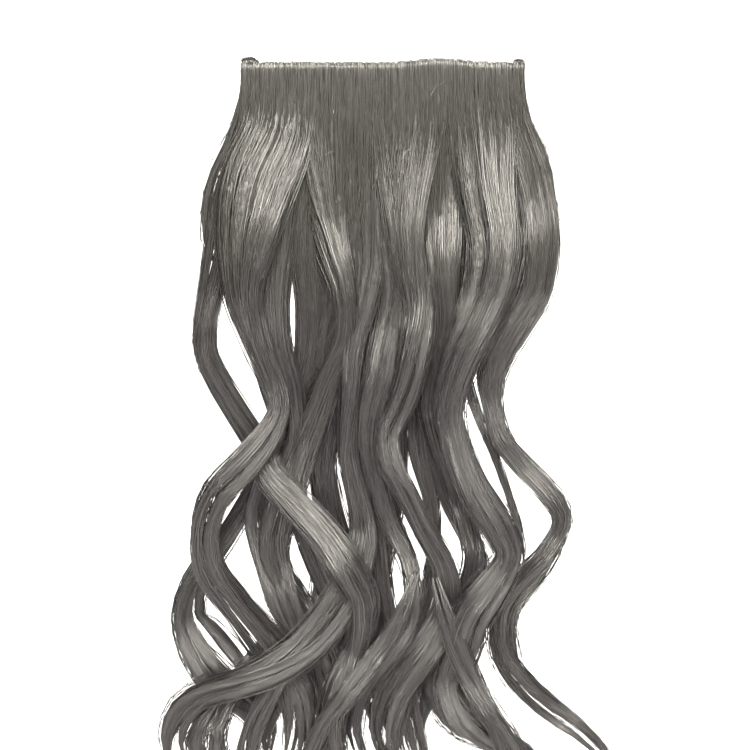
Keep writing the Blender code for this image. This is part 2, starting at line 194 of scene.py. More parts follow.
LOCKS = {
    "left_wisp": [
        Bend(0, -50, 0, 4), Bend(4, -54, 1, 3), Bend(9, -57, 2, 3), Bend(14, -61, 3, 3),
        Bend(19, -62, 2, 3), Bend(25, -60, 0, 5),
    ],
    "left_outer": [
        Bend(0, -44, 0, 10), Bend(8, -47, 0, 10), Bend(15, -53, 2, 10), Bend(23, -57, 4, 10),
        Bend(31, -62, 0, 9), Bend(36, -63, -5, 9), Bend(40, -59, -9, 9), Bend(45, -51, -14, 9),
        Bend(51, -41, -20, 9), Bend(56, -34, -25, 9), Bend(62, -26, -27, 9), Bend(67, -21, -24, 10),
        Bend(73, -23, -18, 10), Bend(78, -30, -14, 9), Bend(83, -39, -12, 9), Bend(89, -44, -14, 7),
        Bend(95, -38, -18, 4),
    ],
    "left_front": [
        Bend(0, -36, 0, 16), Bend(6, -37, 4, 18), Bend(12, -42, 8, 20), Bend(18, -45, 12, 20),
        Bend(23, -47, 15, 18), Bend(29, -48, 15, 14), Bend(36, -43, 12, 11), Bend(42, -37, 12, 9),
        Bend(46, -39, 16, 10), Bend(51, -48, 24, 12), Bend(55, -57, 28, 12), Bend(60, -61, 24, 11),
        Bend(65, -59, 18, 11), Bend(70, -50, 12, 10), Bend(75, -40, 8, 11), Bend(79, -34, 8, 12),
        Bend(84, -29, 12, 11), Bend(91, -31, 18, 9), Bend(98, -39, 18, 4),
    ],
    "left_inner": [
        Bend(3, -30, -2, 9), Bend(12, -32, -3, 9), Bend(20, -36, -2, 10), Bend(28, -39, 2, 10),
        Bend(35, -38, 4, 9), Bend(41, -34, 2, 9), Bend(47, -33, -6, 9), Bend(53, -39, -12, 10),
        Bend(59, -42, -14, 12), Bend(65, -38, -12, 12), Bend(71, -33, -6, 12), Bend(77, -26, -2, 10),
        Bend(83, -22, -2, 8), Bend(90, -27, -4, 4),
    ],
    "left_curl": [
        Bend(3, -26, -3, 9), Bend(14, -27, -5, 10), Bend(22, -27, -6, 12), Bend(30, -25, -8, 12),
        Bend(38, -27, -12, 10), Bend(44, -33, -16, 8), Bend(50, -39, -22, 8), Bend(56, -47, -27, 9),
        Bend(62, -57, -28, 9), Bend(67, -67, -24, 10), Bend(72, -70, -18, 11), Bend(76, -65, -14, 15),
        Bend(80, -56, -14, 15), Bend(84, -46, -18, 11), Bend(88, -41, -24, 8), Bend(93, -44, -26, 6),
        Bend(98, -50, -22, 3),
    ],
    "middle_left": [
        Bend(0, -20, 0, 13), Bend(8, -21, 3, 13), Bend(16, -20, 7, 13), Bend(22, -17, 9, 11),
        Bend(28, -13, 8, 10), Bend(34, -13, 4, 10), Bend(40, -19, 0, 11), Bend(46, -25, -4, 12),
        Bend(51, -30, -6, 12), Bend(57, -35, -6, 11), Bend(62, -38, -4, 10), Bend(66, -36, -4, 9),
        Bend(71, -29, -6, 9), Bend(78, -20, -8, 9), Bend(85, -18, -12, 9), Bend(92, -25, -12, 6),
        Bend(98, -33, -8, 3),
    ],
    "left_sweep": [
        Bend(0, -6, 0, 12), Bend(8, -6, -1, 12), Bend(16, -5, -3, 13), Bend(23, -4, -2, 12),
        Bend(29, -6, 2, 12), Bend(35, -10, 6, 11), Bend(42, -11, 8, 10), Bend(50, -12, 5, 9),
        Bend(59, -7, 0, 9), Bend(64, -8, 6, 10), Bend(70, -15, 20, 11), Bend(75, -25, 30, 12),
        Bend(78, -36, 34, 12), Bend(80, -48, 32, 11), Bend(82, -62, 26, 11), Bend(85, -71, 20, 11),
        Bend(89, -74, 16, 9), Bend(93, -70, 14, 7), Bend(97, -63, 16, 4),
    ],
    "left_tail": [
        Bend(74, -38, -4, 8), Bend(79, -47, 4, 9), Bend(84, -57, 8, 10), Bend(89, -61, 4, 12),
        Bend(94, -56, 0, 8), Bend(99, -47, 2, 3),
    ],
    "shining_lock": [
        Bend(43, -36, 4, 6), Bend(48, -41, 4, 8), Bend(52, -40, 8, 9), Bend(56, -31, 14, 10),
        Bend(61, -20, 18, 10), Bend(66, -12, 20, 10), Bend(70, -8, 18, 10), Bend(75, -10, 14, 10),
        Bend(81, -17, 12, 10), Bend(86, -20, 14, 9), Bend(92, -16, 18, 7), Bend(98, -8, 18, 3),
    ],
    "middle_back": [
        Bend(3, -10, -3, 10), Bend(16, -10, -5, 12), Bend(26, -14, -10, 12), Bend(36, -19, -14, 12),
        Bend(46, -19, -18, 11), Bend(52, -21, -20, 11), Bend(58, -19, -22, 11), Bend(64, -16, -26, 11),
        Bend(72, -20, -28, 11), Bend(80, -28, -26, 10), Bend(88, -24, -22, 9), Bend(95, -15, -22, 5),
    ],
    "middle": [
        Bend(0, 4, 0, 12), Bend(12, 5, 3, 12), Bend(21, 6, 7, 14), Bend(28, 7, 10, 14),
        Bend(33, 4, 8, 13), Bend(38, 1, 5, 12), Bend(44, -3, 2, 11), Bend(49, -4, -2, 10),
        Bend(54, -1, -4, 10), Bend(59, 3, -2, 10), Bend(64, 9, 4, 10), Bend(69, 11, 10, 10),
        Bend(73, 9, 12, 9), Bend(77, 1, 10, 9), Bend(82, -9, 4, 9), Bend(87, -12, -2, 9),
        Bend(92, -8, -4, 7), Bend(98, 0, 0, 3),
    ],
    "middle_right": [
        Bend(0, 13, 0, 12), Bend(7, 12, 3, 12), Bend(15, 10, 8, 12), Bend(23, 11, 13, 12),
        Bend(30, 14, 16, 12), Bend(36, 12, 16, 12), Bend(42, 8, 14, 11), Bend(47, 2, 14, 10),
        Bend(51, 3, 17, 10), Bend(55, 8, 20, 9), Bend(60, 14, 20, 9), Bend(65, 21, 16, 9),
        Bend(70, 22, 12, 10), Bend(74, 18, 10, 10), Bend(78, 11, 10, 10), Bend(82, 4, 12, 10),
        Bend(87, 1, 14, 9), Bend(93, 5, 12, 6), Bend(100, 12, 8, 3),
    ],
    "right_back": [
        Bend(3, 12, -3, 10), Bend(16, 12, -5, 13), Bend(26, 8, -10, 13), Bend(36, 3, -14, 12),
        Bend(46, 4, -18, 12), Bend(56, 4, -22, 11), Bend(64, 0, -26, 11), Bend(72, -3, -28, 11),
        Bend(80, -4, -26, 10), Bend(88, 2, -22, 9), Bend(95, 9, -22, 5),
    ],
    "right_inner": [
        Bend(0, 21, 0, 12), Bend(12, 21, 1, 12), Bend(20, 21, 4, 14), Bend(26, 21, 6, 13),
        Bend(32, 22, 4, 11), Bend(37, 20, 2, 10), Bend(43, 17, -2, 9), Bend(48, 20, -6, 9),
        Bend(53, 25, -8, 9), Bend(59, 30, -8, 9), Bend(64, 33, -12, 9), Bend(70, 30, -18, 10),
        Bend(75, 24, -20, 10), Bend(80, 20, -16, 10), Bend(85, 25, -10, 10), Bend(88, 37, -6, 10),
        Bend(91, 50, -6, 8), Bend(96, 60, -8, 4),
    ],
    "right_front": [
        Bend(0, 34, 0, 14), Bend(7, 36, 4, 15), Bend(14, 38, 9, 15), Bend(21, 41, 14, 15),
        Bend(27, 39, 18, 15), Bend(32, 34, 20, 14), Bend(37, 28, 20, 13), Bend(43, 24, 18, 12),
        Bend(48, 26, 20, 12), Bend(54, 32, 26, 12), Bend(59, 40, 30, 11), Bend(63, 44, 30, 9),
        Bend(67, 39, 26, 11), Bend(71, 31, 22, 14), Bend(76, 27, 18, 15), Bend(81, 22, 14, 12),
        Bend(85, 27, 12, 13), Bend(88, 38, 14, 11), Bend(91, 51, 18, 9), Bend(96, 60, 18, 4),
    ],
    "right_under": [
        Bend(3, 32, -3, 10), Bend(16, 32, -5, 12), Bend(26, 32, -10, 12), Bend(34, 27, -14, 11),
        Bend(42, 16, -18, 10), Bend(48, 15, -20, 10), Bend(53, 20, -22, 9), Bend(58, 26, -24, 8),
        Bend(64, 34, -26, 8), Bend(70, 31, -26, 9), Bend(76, 22, -24, 10), Bend(82, 13, -22, 11),
        Bend(88, 9, -20, 9), Bend(94, 14, -20, 5),
    ],
    "right_outer": [
        Bend(0, 44, 0, 10), Bend(5, 47, 1, 10), Bend(10, 51, 3, 11), Bend(16, 54, 5, 11),
        Bend(22, 55, 6, 12), Bend(28, 53, 4, 13), Bend(32, 47, 2, 14), Bend(36, 41, 0, 14),
        Bend(40, 38, 0, 12), Bend(44, 39, 2, 9), Bend(48, 42, 6, 11), Bend(52, 50, 10, 11),
        Bend(56, 59, 12, 11), Bend(59, 62, 12, 9), Bend(63, 57, 8, 9), Bend(67, 48, 4, 8),
        Bend(71, 42, 2, 8), Bend(76, 42, 4, 8), Bend(80, 48, 8, 9), Bend(84, 58, 12, 10),
        Bend(87, 68, 12, 9), Bend(91, 77, 8, 8), Bend(96, 78, 4, 4),
    ],
    "right_twist": [
        Bend(55, 57, 4, 5), Bend(60, 62, 0, 5), Bend(66, 56, -4, 5), Bend(70, 48, -4, 5),
        Bend(73, 45, -2, 5), Bend(77, 45, 2, 5), Bend(81, 49, 6, 5),
    ],
}

# The flat curtain that the locks leave
Sheet = namedtuple("Sheet", "down left right thick")
CURTAIN = [
    Sheet(0, -50, 49, 100), Sheet(5, -49, 50, 110), Sheet(10, -51, 52, 120), Sheet(16, -53, 54, 130),
    Sheet(22, -52, 54, 120), Sheet(28, -42, 49, 90), Sheet(33, -22, 36, 60),
]

# Lift of the seam roll along the band, in hundredths of WEFT_WIDTH and of ROLL_HUMP
Lift = namedtuple("Lift", "across lift")
ROLL = [
    Lift(-50, 0), Lift(-30, 8), Lift(-12, 0), Lift(4, 6), Lift(11, 55), Lift(19, 100), Lift(27, 70),
    Lift(34, 12), Lift(42, 0), Lift(50, 10),
]

# Single strands that stray from the locks, each by its points: down, across and forward in the same shares
STRAYS = {
    "left_loop": [
        (37, -67, 2), (41, -70, 4), (43, -70, 6), (46, -68, 8), (49, -61, 8), (52, -56, 8), (55, -55, 10),
    ],
    "left_edge_one": [(38, -66, 2), (42, -63, 4), (46, -57, 6), (49, -51, 8), (52, -48, 8)],
    "left_edge_two": [(38, -65, 2), (41, -63, 2), (45, -58, 4), (48, -53, 6), (51, -50, 6)],
    "left_shoulder": [
        (-1, -51, 0), (2, -54, 2), (5, -57, 3), (10, -60, 4), (15, -64, 4), (20, -64, 2), (26, -61, 0),
    ],
    "top_hook_one": [(9, -17, 8), (9.5, -20, 10), (10.5, -22, 10), (14, -25, 8)],
    "top_hook_two": [(11, -2, 8), (13, -2.6, 10), (15, -5, 11), (17, -9, 10)],
    "top_hair_one": [(-1, 25, 4), (0, 20, 6), (1, 15, 6)],
    "top_hair_two": [(0, 19, 4), (2, 16, 6), (4, 14, 6)],
    "middle_hook": [(8, 11, 8), (11, 5, 12), (14, 5, 12), (17, 10, 10), (20, 12, 10)],
    "middle_loop": [(27, -12, 14), (30, -14, 16), (34, -19, 16), (36, -24, 12)],
    "right_shoulder_one": [
        (1, 50, 0), (4, 54, 2), (8, 57, 3), (12, 59, 4), (17, 61, 4), (22, 62, 3), (27, 61, 2), (31, 57, 0),
    ],
    "right_shoulder_two": [
        (2, 50, 1), (6, 55, 3), (11, 58, 5), (16, 61, 6), (21, 63, 5), (25, 63, 4), (29, 61, 2),
    ],
    "right_gap_one": [(44, 33, 10), (48, 35, 12), (52, 40, 12), (56, 47, 12), (60, 51, 10)],
    "right_gap_two": [(45, 35, 8), (49, 38, 10), (53, 45, 10), (57, 49, 10), (60, 50, 8)],
    "right_gap_three": [(80, 44, 10), (84, 45, 12), (88, 47, 12), (92, 46, 10)],
    "right_gap_four": [(82, 48, 10), (86, 50, 12), (90, 51, 12), (94, 50, 10)],
}

# How far each lock's hair turns round it on the way down, in degrees
TWIST = {
    "left_wisp": 0, "left_outer": 150, "left_front": 200, "left_inner": -120, "left_curl": 160,
    "middle_left": -170, "left_sweep": 190, "left_tail": 40, "shining_lock": -90, "middle_back": 120,
    "middle": -160, "middle_right": 180, "right_back": -120, "right_inner": 150, "right_front": 190,
    "right_under": 120, "right_outer": -150, "right_twist": 60,
}

# Thin wisps that cross between the locks, in the same shares
WISPS = {
    "wisp_left_cross": [
        Bend(30, -50, 6, 4), Bend(38, -44, 2, 4), Bend(46, -36, -2, 5), Bend(54, -30, -6, 5),
        Bend(62, -24, -8, 5), Bend(72, -16, -6, 5), Bend(84, -20, -4, 5), Bend(97, -12, -4, 3),
    ],
    "wisp_centre": [
        Bend(20, -6, -4, 8), Bend(30, -5, -6, 8), Bend(40, -7, -8, 7), Bend(50, -6, -10, 6),
        Bend(60, -2, -12, 6), Bend(70, 2, -10, 6), Bend(80, 8, -6, 6), Bend(88, 4, -4, 6),
        Bend(98, -4, -4, 3),
    ],
    "wisp_right_cross": [
        Bend(28, 22, -2, 6), Bend(36, 27, -4, 5), Bend(44, 33, -6, 4), Bend(52, 41, -4, 3),
        Bend(60, 47, 0, 3), Bend(66, 50, 2, 2),
    ],
    "wisp_low_left": [
        Bend(66, -16, 10, 4), Bend(74, -27, 18, 6), Bend(81, -38, 20, 7), Bend(87, -46, 16, 6),
        Bend(93, -48, 10, 5), Bend(99, -42, 8, 3),
    ],
    "wisp_low_middle": [
        Bend(65, 12, 14, 4), Bend(73, 4, 20, 6), Bend(80, -8, 22, 7), Bend(86, -20, 20, 7),
        Bend(92, -27, 14, 6), Bend(99, -24, 12, 3),
    ],
    "wisp_low_right": [
        Bend(66, 18, 20, 4), Bend(74, 24, 26, 6), Bend(81, 32, 26, 8), Bend(87, 41, 22, 8),
        Bend(93, 46, 16, 7), Bend(99, 42, 14, 3),
    ],
    "wisp_back_left": [
        Bend(40, -24, -14, 8), Bend(50, -30, -18, 7), Bend(60, -28, -16, 6), Bend(70, -18, -14, 6),
        Bend(80, -12, -12, 6), Bend(90, -16, -10, 6), Bend(99, -10, -10, 3),
    ],
    "wisp_back_right": [
        Bend(38, 12, -12, 8), Bend(48, 12, -16, 7), Bend(58, 18, -18, 6), Bend(68, 16, -16, 6),
        Bend(78, 8, -12, 6), Bend(88, 12, -10, 6), Bend(99, 24, -8, 3),
    ],
}

# Where each lock swings forward enough to shine, as hundredths of the way down, with the reach in metres
SHINES = {
    "left_front": ((12.5, 0.022), (32.7, 0.014), (49.3, 0.026)),
    "left_sweep": ((78.0, 0.043),),
    "middle_left": ((23.5, 0.030), (51.8, 0.026), (74.0, 0.023)),
    "left_inner": ((64.0, 0.026), (84.0, 0.023)),
    "left_curl": ((77.0, 0.023),),
    "right_under": ((60.0, 0.023),),
    "shining_lock": ((61.0, 0.029), (78.7, 0.023)),
    "middle": ((35.0, 0.032), (65.5, 0.026), (74.4, 0.017)),
    "middle_right": ((33.0, 0.026), (48.0, 0.026), (73.4, 0.017)),
    "right_inner": ((20.8, 0.028), (60.0, 0.026)),
    "right_front": ((32.4, 0.020), (67.2, 0.020), (82.5, 0.029)),
    "right_outer": ((18.8, 0.018), (30.6, 0.012), (54.0, 0.020), (62.2, 0.014), (86.5, 0.020)),
    "left_tail": ((86.0, 0.020),),
    "left_outer": ((31.0, 0.020),),
    "wisp_low_left": ((79.0, 0.023),),
    "wisp_low_middle": ((79.0, 0.023),),
    "wisp_low_right": ((82.0, 0.023),),
    "wisp_left_cross": ((51.0, 0.020),),
    "wisp_right_cross": ((44.0, 0.020),),
}
# Slope that shines at the hair's middle height, in degrees, and how much more it takes for each metre lower
SHINE_SLOPE = 18
SHINE_SLOPE_GAIN = 46


def interp(rows, where):
    """Points of the smooth curve through the rows, one for each value of where from 0 to len(rows) - 1."""
    rows = np.asarray(rows, float)
    i = np.minimum(where.astype(int), len(rows) - 2)
    u = (where - i)[:, None]
    last = len(rows) - 1
    a, b, c, d = (rows[np.clip(i + k, 0, last)] for k in (-1, 0, 1, 2))
    return 0.5 * (2 * b + (c - a) * u + (2 * a - 5 * b + 4 * c - d) * u**2 + (3 * b - a - 3 * c + d) * u**3)


def unit(vectors):
    """The vectors at a length of 1."""
    return vectors / np.maximum(np.linalg.norm(vectors, axis=-1, keepdims=True), 1e-12)


def ease(t):
    """A smooth step from 0 to 1 as t goes from 0 to 1."""
    t = np.clip(t, 0, 1)
    return t * t * (3 - 2 * t)


def wave(where, rng, shape, low, high):
    """A smooth random swing from -1 to 1 along each strand, of low to high turns from end to end."""
    turns = rng.uniform(low, high, shape)
    return np.sin(2 * pi * (turns * where + rng.uniform(0, 1, shape)))


def place(down, across, forward):
    """Points of the fall from their shares."""
    return np.stack([
        across / 100 * WEFT_WIDTH,
        CURTAIN_MIDDLE - forward / 100 * FALL_DEPTH,
        FALL_TOP - down / 100 * FALL_LENGTH,
    ], axis=-1)


def end_pinch(steps):
    """A factor for each ring of a tube that draws its two ends to a point."""
    pinch = np.ones((steps, 1, 1))
    pinch[0], pinch[-1] = PINCHED, PINCHED
    return pinch


Spine = namedtuple("Spine", "run centre side front half_width half_thick down swing length rooted")


def swing_forward(centre, down, places):
    """How far forward a lock swings along its centre-line, to shine at the given places."""
    step = np.linalg.norm(np.diff(centre, axis=0), axis=1)
    arc = np.concatenate([[0], np.cumsum(step)])
    slope = -np.gradient(centre[:, 1], arc)
    plumb = np.clip(-np.gradient(centre[:, 2], arc), 0, 1)
    swing = np.zeros(len(arc))
    for at, reach in places:
        k = np.argmax(down >= at)
        lower = MIDDLE_HEIGHT - centre[k, 2]
        slant = np.tan(radians(SHINE_SLOPE + SHINE_SLOPE_GAIN * lower))
        t = (arc - arc[k]) / reach
        swing += (plumb[k] * slant - slope[k]) * reach * t * np.exp(-t * t)
    return swing * ease(down / SWING_DOWN)


def spine_of(name):
    """A lock's centre-line with its frame and section at many points, run from 0 to 1 along it."""
    rows = np.array(LOCKS.get(name) or WISPS[name], float)
    rooted = rows[0][0] <= ROOTED_DOWN
    if rooted:
        rows = np.vstack([[ROOT_DOWN, rows[0][1], min(0, rows[0][2]), rows[0][3]], rows])
    line = interp(rows, np.linspace(0, len(rows) - 1, FINE * (len(rows) - 1) + 1))
    settle = 1 - np.exp(-((np.maximum(line[:, 0], 0) / EARLY_SETTLE.get(name, SETTLE_DOWN)) ** 2))
    centre = place(line[:, 0], line[:, 1], line[:, 2] * (settle if rooted else 1))
    swing = swing_forward(centre, line[:, 0], SHINES.get(name, ()))
    along = unit(np.gradient(centre, axis=0))
    side = unit(np.cross(along, (0, 1, 0)))
    front = -unit(np.cross(side, along))
    step = np.linalg.norm(np.diff(centre, axis=0), axis=1)
    turn = np.arccos(np.clip((along[1:] * along[:-1]).sum(1), -1, 1))
    run = np.concatenate([[0], np.cumsum(step + TURN_REACH * turn)])
    half_width = np.maximum(line[:, 3], 1) / 200 * WEFT_WIDTH
    full = ease(line[:, 0] / FULL_LOCK_DOWN)
    half_thick = CURTAIN_THICKNESS / 2 * (1 - full) + half_width * LOCK_FLATNESS * full
    return Spine(
        run / run[-1], centre, side, front, half_width, half_thick, line[:, 0], swing, step.sum(), rooted,
    )


def along_spine(spine, name, where):
    """One of the spine's values at every place in where, which may be a grid."""
    values = getattr(spine, name)
    flat = where.ravel()
    if values.ndim == 1:
        return np.interp(flat, spine.run, values).reshape(where.shape)
    parts = [np.interp(flat, spine.run, values[:, k]) for k in range(3)]
    return np.stack(parts, axis=-1).reshape(*where.shape, 3)


Patch = namedtuple("Patch", "points faces normals tone fall lane body")


def join_patches(patches):
    """Many patches as one."""
    shift = np.cumsum([0] + [len(patch.points) for patch in patches[:-1]])
    whole = {key: np.concatenate([getattr(patch, key) for patch in patches]) for key in Patch._fields}
    whole["faces"] = np.concatenate([patch.faces + at for patch, at in zip(patches, shift)])
    return Patch(**whole)


def grid_faces(strips, rows, across, closed=False):
    """Quads of so many strips, each a grid of rows by across points, closed round if asked."""
    r, c = np.meshgrid(np.arange(rows - 1), np.arange(across if closed else across - 1), indexing="ij")
    nxt = (c + 1) % across
    one = np.stack([r * across + c, r * across + nxt, (r + 1) * across + nxt, (r + 1) * across + c], axis=-1)
    shift = np.arange(strips)[:, None, None] * rows * across
    return (one.reshape(1, -1, 4) + shift).reshape(-1, 4)


def tubes(path, outward, radius, soften, tone, sides=TUBE_SIDES):
    """Thin tubes along many paths, open at their ends, one flat side of each turned outward.

    path and outward are strands by steps by 3, radius is strands by steps, soften draws the normals together
    towards outward, and tone is one number for each strand."""
    along = unit(np.gradient(path, axis=1))
    outward = unit(outward - along * (outward * along).sum(-1, keepdims=True))
    beside = np.cross(along, outward)
    turn = 2 * pi * (np.arange(sides) + 0.5) / sides
    ring = np.cos(turn)[:, None] * outward[:, :, None] + np.sin(turn)[:, None] * beside[:, :, None]
    points = path[:, :, None] + radius[:, :, None, None] * ring
    normals = unit(ring + soften * outward[:, :, None])
    strands, steps = radius.shape
    fall = (FALL_TOP - points[..., 2]) / FALL_LENGTH
    lane = np.arange(strands) * STRAND_LANE
    return Patch(
        points.reshape(-1, 3), grid_faces(strands, steps, sides, closed=True), normals.reshape(-1, 3),
        np.repeat(tone, steps * sides), fall.ravel(), np.repeat(lane, steps * sides), np.zeros(fall.size),
    )


def mesh_piece(name, points, faces, material, normals=None, values=None):
    """A smooth mesh of quads with its custom normals and named point values."""
    mesh = bpy.data.meshes.new(name)
    mesh.vertices.add(len(points))
    mesh.vertices.foreach_set("co", np.ascontiguousarray(points, np.float32).ravel())
    mesh.loops.add(faces.size)
    mesh.loops.foreach_set("vertex_index", faces.astype(np.int32).ravel())
    mesh.polygons.add(len(faces))
    mesh.polygons.foreach_set("loop_start", np.arange(len(faces), dtype=np.int32) * faces.shape[1])
    mesh.update(calc_edges=True)
    mesh.validate()
    mesh.shade_smooth()
    for key, numbers in (values or {}).items():
        attribute = mesh.attributes.new(key, "FLOAT", "POINT")
        attribute.data.foreach_set("value", np.ascontiguousarray(numbers, np.float32))
    if normals is not None:
        mesh.normals_split_custom_set_from_vertices(normals.tolist())
    mesh.materials.append(material)
    piece = bpy.data.objects.new(name, mesh)
    bpy.context.scene.collection.objects.link(piece)
    return piece


def hair_piece(name, patches, material):
    """One piece of hair from its patches, standing for the solid hair."""
    patch = join_patches(patches)
    values = {"tone": patch.tone, "fall": patch.fall, "lane": patch.lane, "body": patch.body}
    piece = mesh_piece(name, patch.points, patch.faces, material, patch.normals, values)
    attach(piece, "root")
    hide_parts("hair_fall")
    return piece


Lay = namedtuple("Lay", "middle proud")
Tuft = namedtuple("Tuft", "across deep reach_across reach_deep start end tone phase turns key shift")


def tufts_of(spine, sizes, rng):
    """The tufts of a lock: a front layer and a back one, side by side in its section."""
    wide = 2 * spine.half_width.mean()
    front = max(1, round(wide / sizes.tuft_width))
    several = front > 1
    layers = ((1, front, FRONT_SPREAD), (-1, front - 1, BACK_SPREAD)) if several else ((1, 1, FRONT_SPREAD),)
    tufts = []
    for layer, count, layer_spread in layers:
        for k in range(count):
            spread = (2 * (k + 0.5) / count - 1) if count > 1 else 0.0
            across = spread * layer_spread + rng.uniform(*TUFT_ASIDE)
            deep, reach_across, reach_deep = 0.0, LONE_TUFT, LONE_TUFT
            if several:
                deep = layer * rng.uniform(*TUFT_DEEP) * np.sqrt(1 - min(0.95, across * across))
                reach_across = min(LONE_TUFT, rng.uniform(*TUFT_REACH_ACROSS) / (front + 0.35))
                reach_deep = rng.uniform(*TUFT_REACH_DEEP)
            tufts.append(Tuft(
                across, deep, reach_across, reach_deep, 0.0 if spine.rooted else rng.uniform(*TUFT_START),
                rng.uniform(*TUFT_END), rng.random(), rng.uniform(0, 1, 2), rng.uniform(*TUFT_TURNS, 2),
                rng.random() * 100, rng.uniform(*TUFT_SHIFT),
            ))
    return tufts


def within_lock(spine, where, across, deep, sizes, shift=0.0):
    """Points in a lock from their shares of its half width and half thickness, fanned out at its root."""
    down = along_spine(spine, "down", where)
    half_width = along_spine(spine, "half_width", where)
    half_thick = along_spine(spine, "half_thick", where)
    side, front = along_spine(spine, "side", where), along_spine(spine, "front", where)
    fan = 1 + sizes.root_fan * (1 - ease(down / SPREAD_DOWN)) if spine.rooted else 1
    points = along_spine(spine, "centre", where)
    points = points + side * (half_width * fan * across)[..., None] + front * (half_thick * deep)[..., None]
    points[..., 1] -= along_spine(spine, "swing", where + shift * ease(down / HELD_DOWN))
    if spine.rooted:
        held = 1 - ease((down + 2) / (HELD_DOWN + 2))
        edge = WEFT_WIDTH / 2 - SEAM_INSET
        points[..., 0] += (np.clip(points[..., 0], -edge, edge) - points[..., 0]) * held
    outward = unit(side * (across / half_width)[..., None] + front * (deep / half_thick)[..., None])
    return points, outward, side, front


def tuft_middle(spine, tuft, where, twist):
    """Shares of the tuft's middle in its lock, turned with the lock's twist."""
    down = along_spine(spine, "down", where)
    free = ease(down / FULL_LOCK_DOWN)
    turn = np.radians(twist) * where * free
    wander = (TUFT_WANDER + TUFT_TIP_WANDER * where**2) * free
    across = tuft.across * np.cos(turn) - tuft.deep * np.sin(turn)
    deep = tuft.across * np.sin(turn) + tuft.deep * np.cos(turn)
    across = across + wander * np.sin(2 * pi * (tuft.turns[0] * where + tuft.phase[0]))
    deep = deep + wander * np.sin(2 * pi * (tuft.turns[1] * where + tuft.phase[1]))
    return across, deep


def section_point(spine, tuft, where, turn, taper, reach, lay):
    """Shares of a point at an angle round a tuft, pressed into a flat sheet where the lock is still curtain.

    lay is how far forward or back the point lies in that sheet."""
    across, deep = lay.middle
    free = ease(along_spine(spine, "down", where) / FULL_LOCK_DOWN)
    flat_u = PRESSED_SPREAD * (1 - 2 * np.mod(turn, pi) / pi)
    flat_v = np.where(np.sin(turn) >= 0, lay.proud, -lay.proud)
    u = across + tuft.reach_across * taper * reach * (free * np.cos(turn) + (1 - free) * flat_u)
    v = free * (deep + tuft.reach_deep * taper * reach * np.sin(turn)) + (1 - free) * flat_v
    return u, v


def tuft_taper(spine, tuft, where):
    """How full the tuft is on its way: pointed at its tip, and at its start if it starts within the fall."""
    taper = 1 - TAPER_LOSS * ease((where / tuft.end - TAPER_FROM) / (1 - TAPER_FROM))
    if not spine.rooted:
        filled = ease((where - tuft.start) / START_REACH)
        taper = taper * (START_FULLNESS + (1 - START_FULLNESS) * filled)
    return taper


def thinning(share, start, loss):
    """How thick a strand still is, from 1 at the share where it starts to thin to 1 - loss at its tip."""
    return 1 - loss * ease((share - start) / (1 - start))


def tuft_core(spine, tuft, twist, sizes, steps, rng):
    """The tuft's own body: a ridged tube a little inside its strands."""
    where = np.linspace(tuft.start, tuft.end * CORE_END, steps)
    turn = 2 * pi * np.arange(CORE_SIDES) / CORE_SIDES
    grid = np.broadcast_to(where[:, None], (steps, CORE_SIDES))
    ridge = sizes.core_share * (1 + CORE_RIDGE * rng.uniform(-1, 1, CORE_SIDES))[None, :]
    lay = Lay(tuft_middle(spine, tuft, grid, twist), CORE_PROUD)
    turn_grid = np.broadcast_to(turn, grid.shape)
    u, v = section_point(spine, tuft, grid, turn_grid, tuft_taper(spine, tuft, grid), ridge, lay)
    points, outward, side, front = within_lock(spine, grid, u, v, sizes, tuft.shift)
    middle = points.mean(axis=1, keepdims=True)
    points = middle + (points - middle) * end_pinch(steps)
    normals = unit(unit(points - middle) + 0.5 * outward)
    along = unit(np.gradient(middle, axis=0))
    normals = unit(normals - along * (normals * along).sum(-1, keepdims=True))
    fall = (FALL_TOP - points[..., 2]) / FALL_LENGTH
    # Painted shade: the tuft's body is painted darker than its strands, so the creases between them read as
    # shaded
    tone = sizes.shaded_core_tone * (0.5 * tuft.tone + 0.5 * rng.random(CORE_SIDES))
    lane = tuft.key + np.arange(CORE_SIDES) * CORE_LANE
    return Patch(
        points.reshape(-1, 3), grid_faces(1, steps, CORE_SIDES, closed=True), normals.reshape(-1, 3),
        np.tile(tone, steps), fall.ravel(), np.tile(lane, steps), np.ones(fall.size),
    )


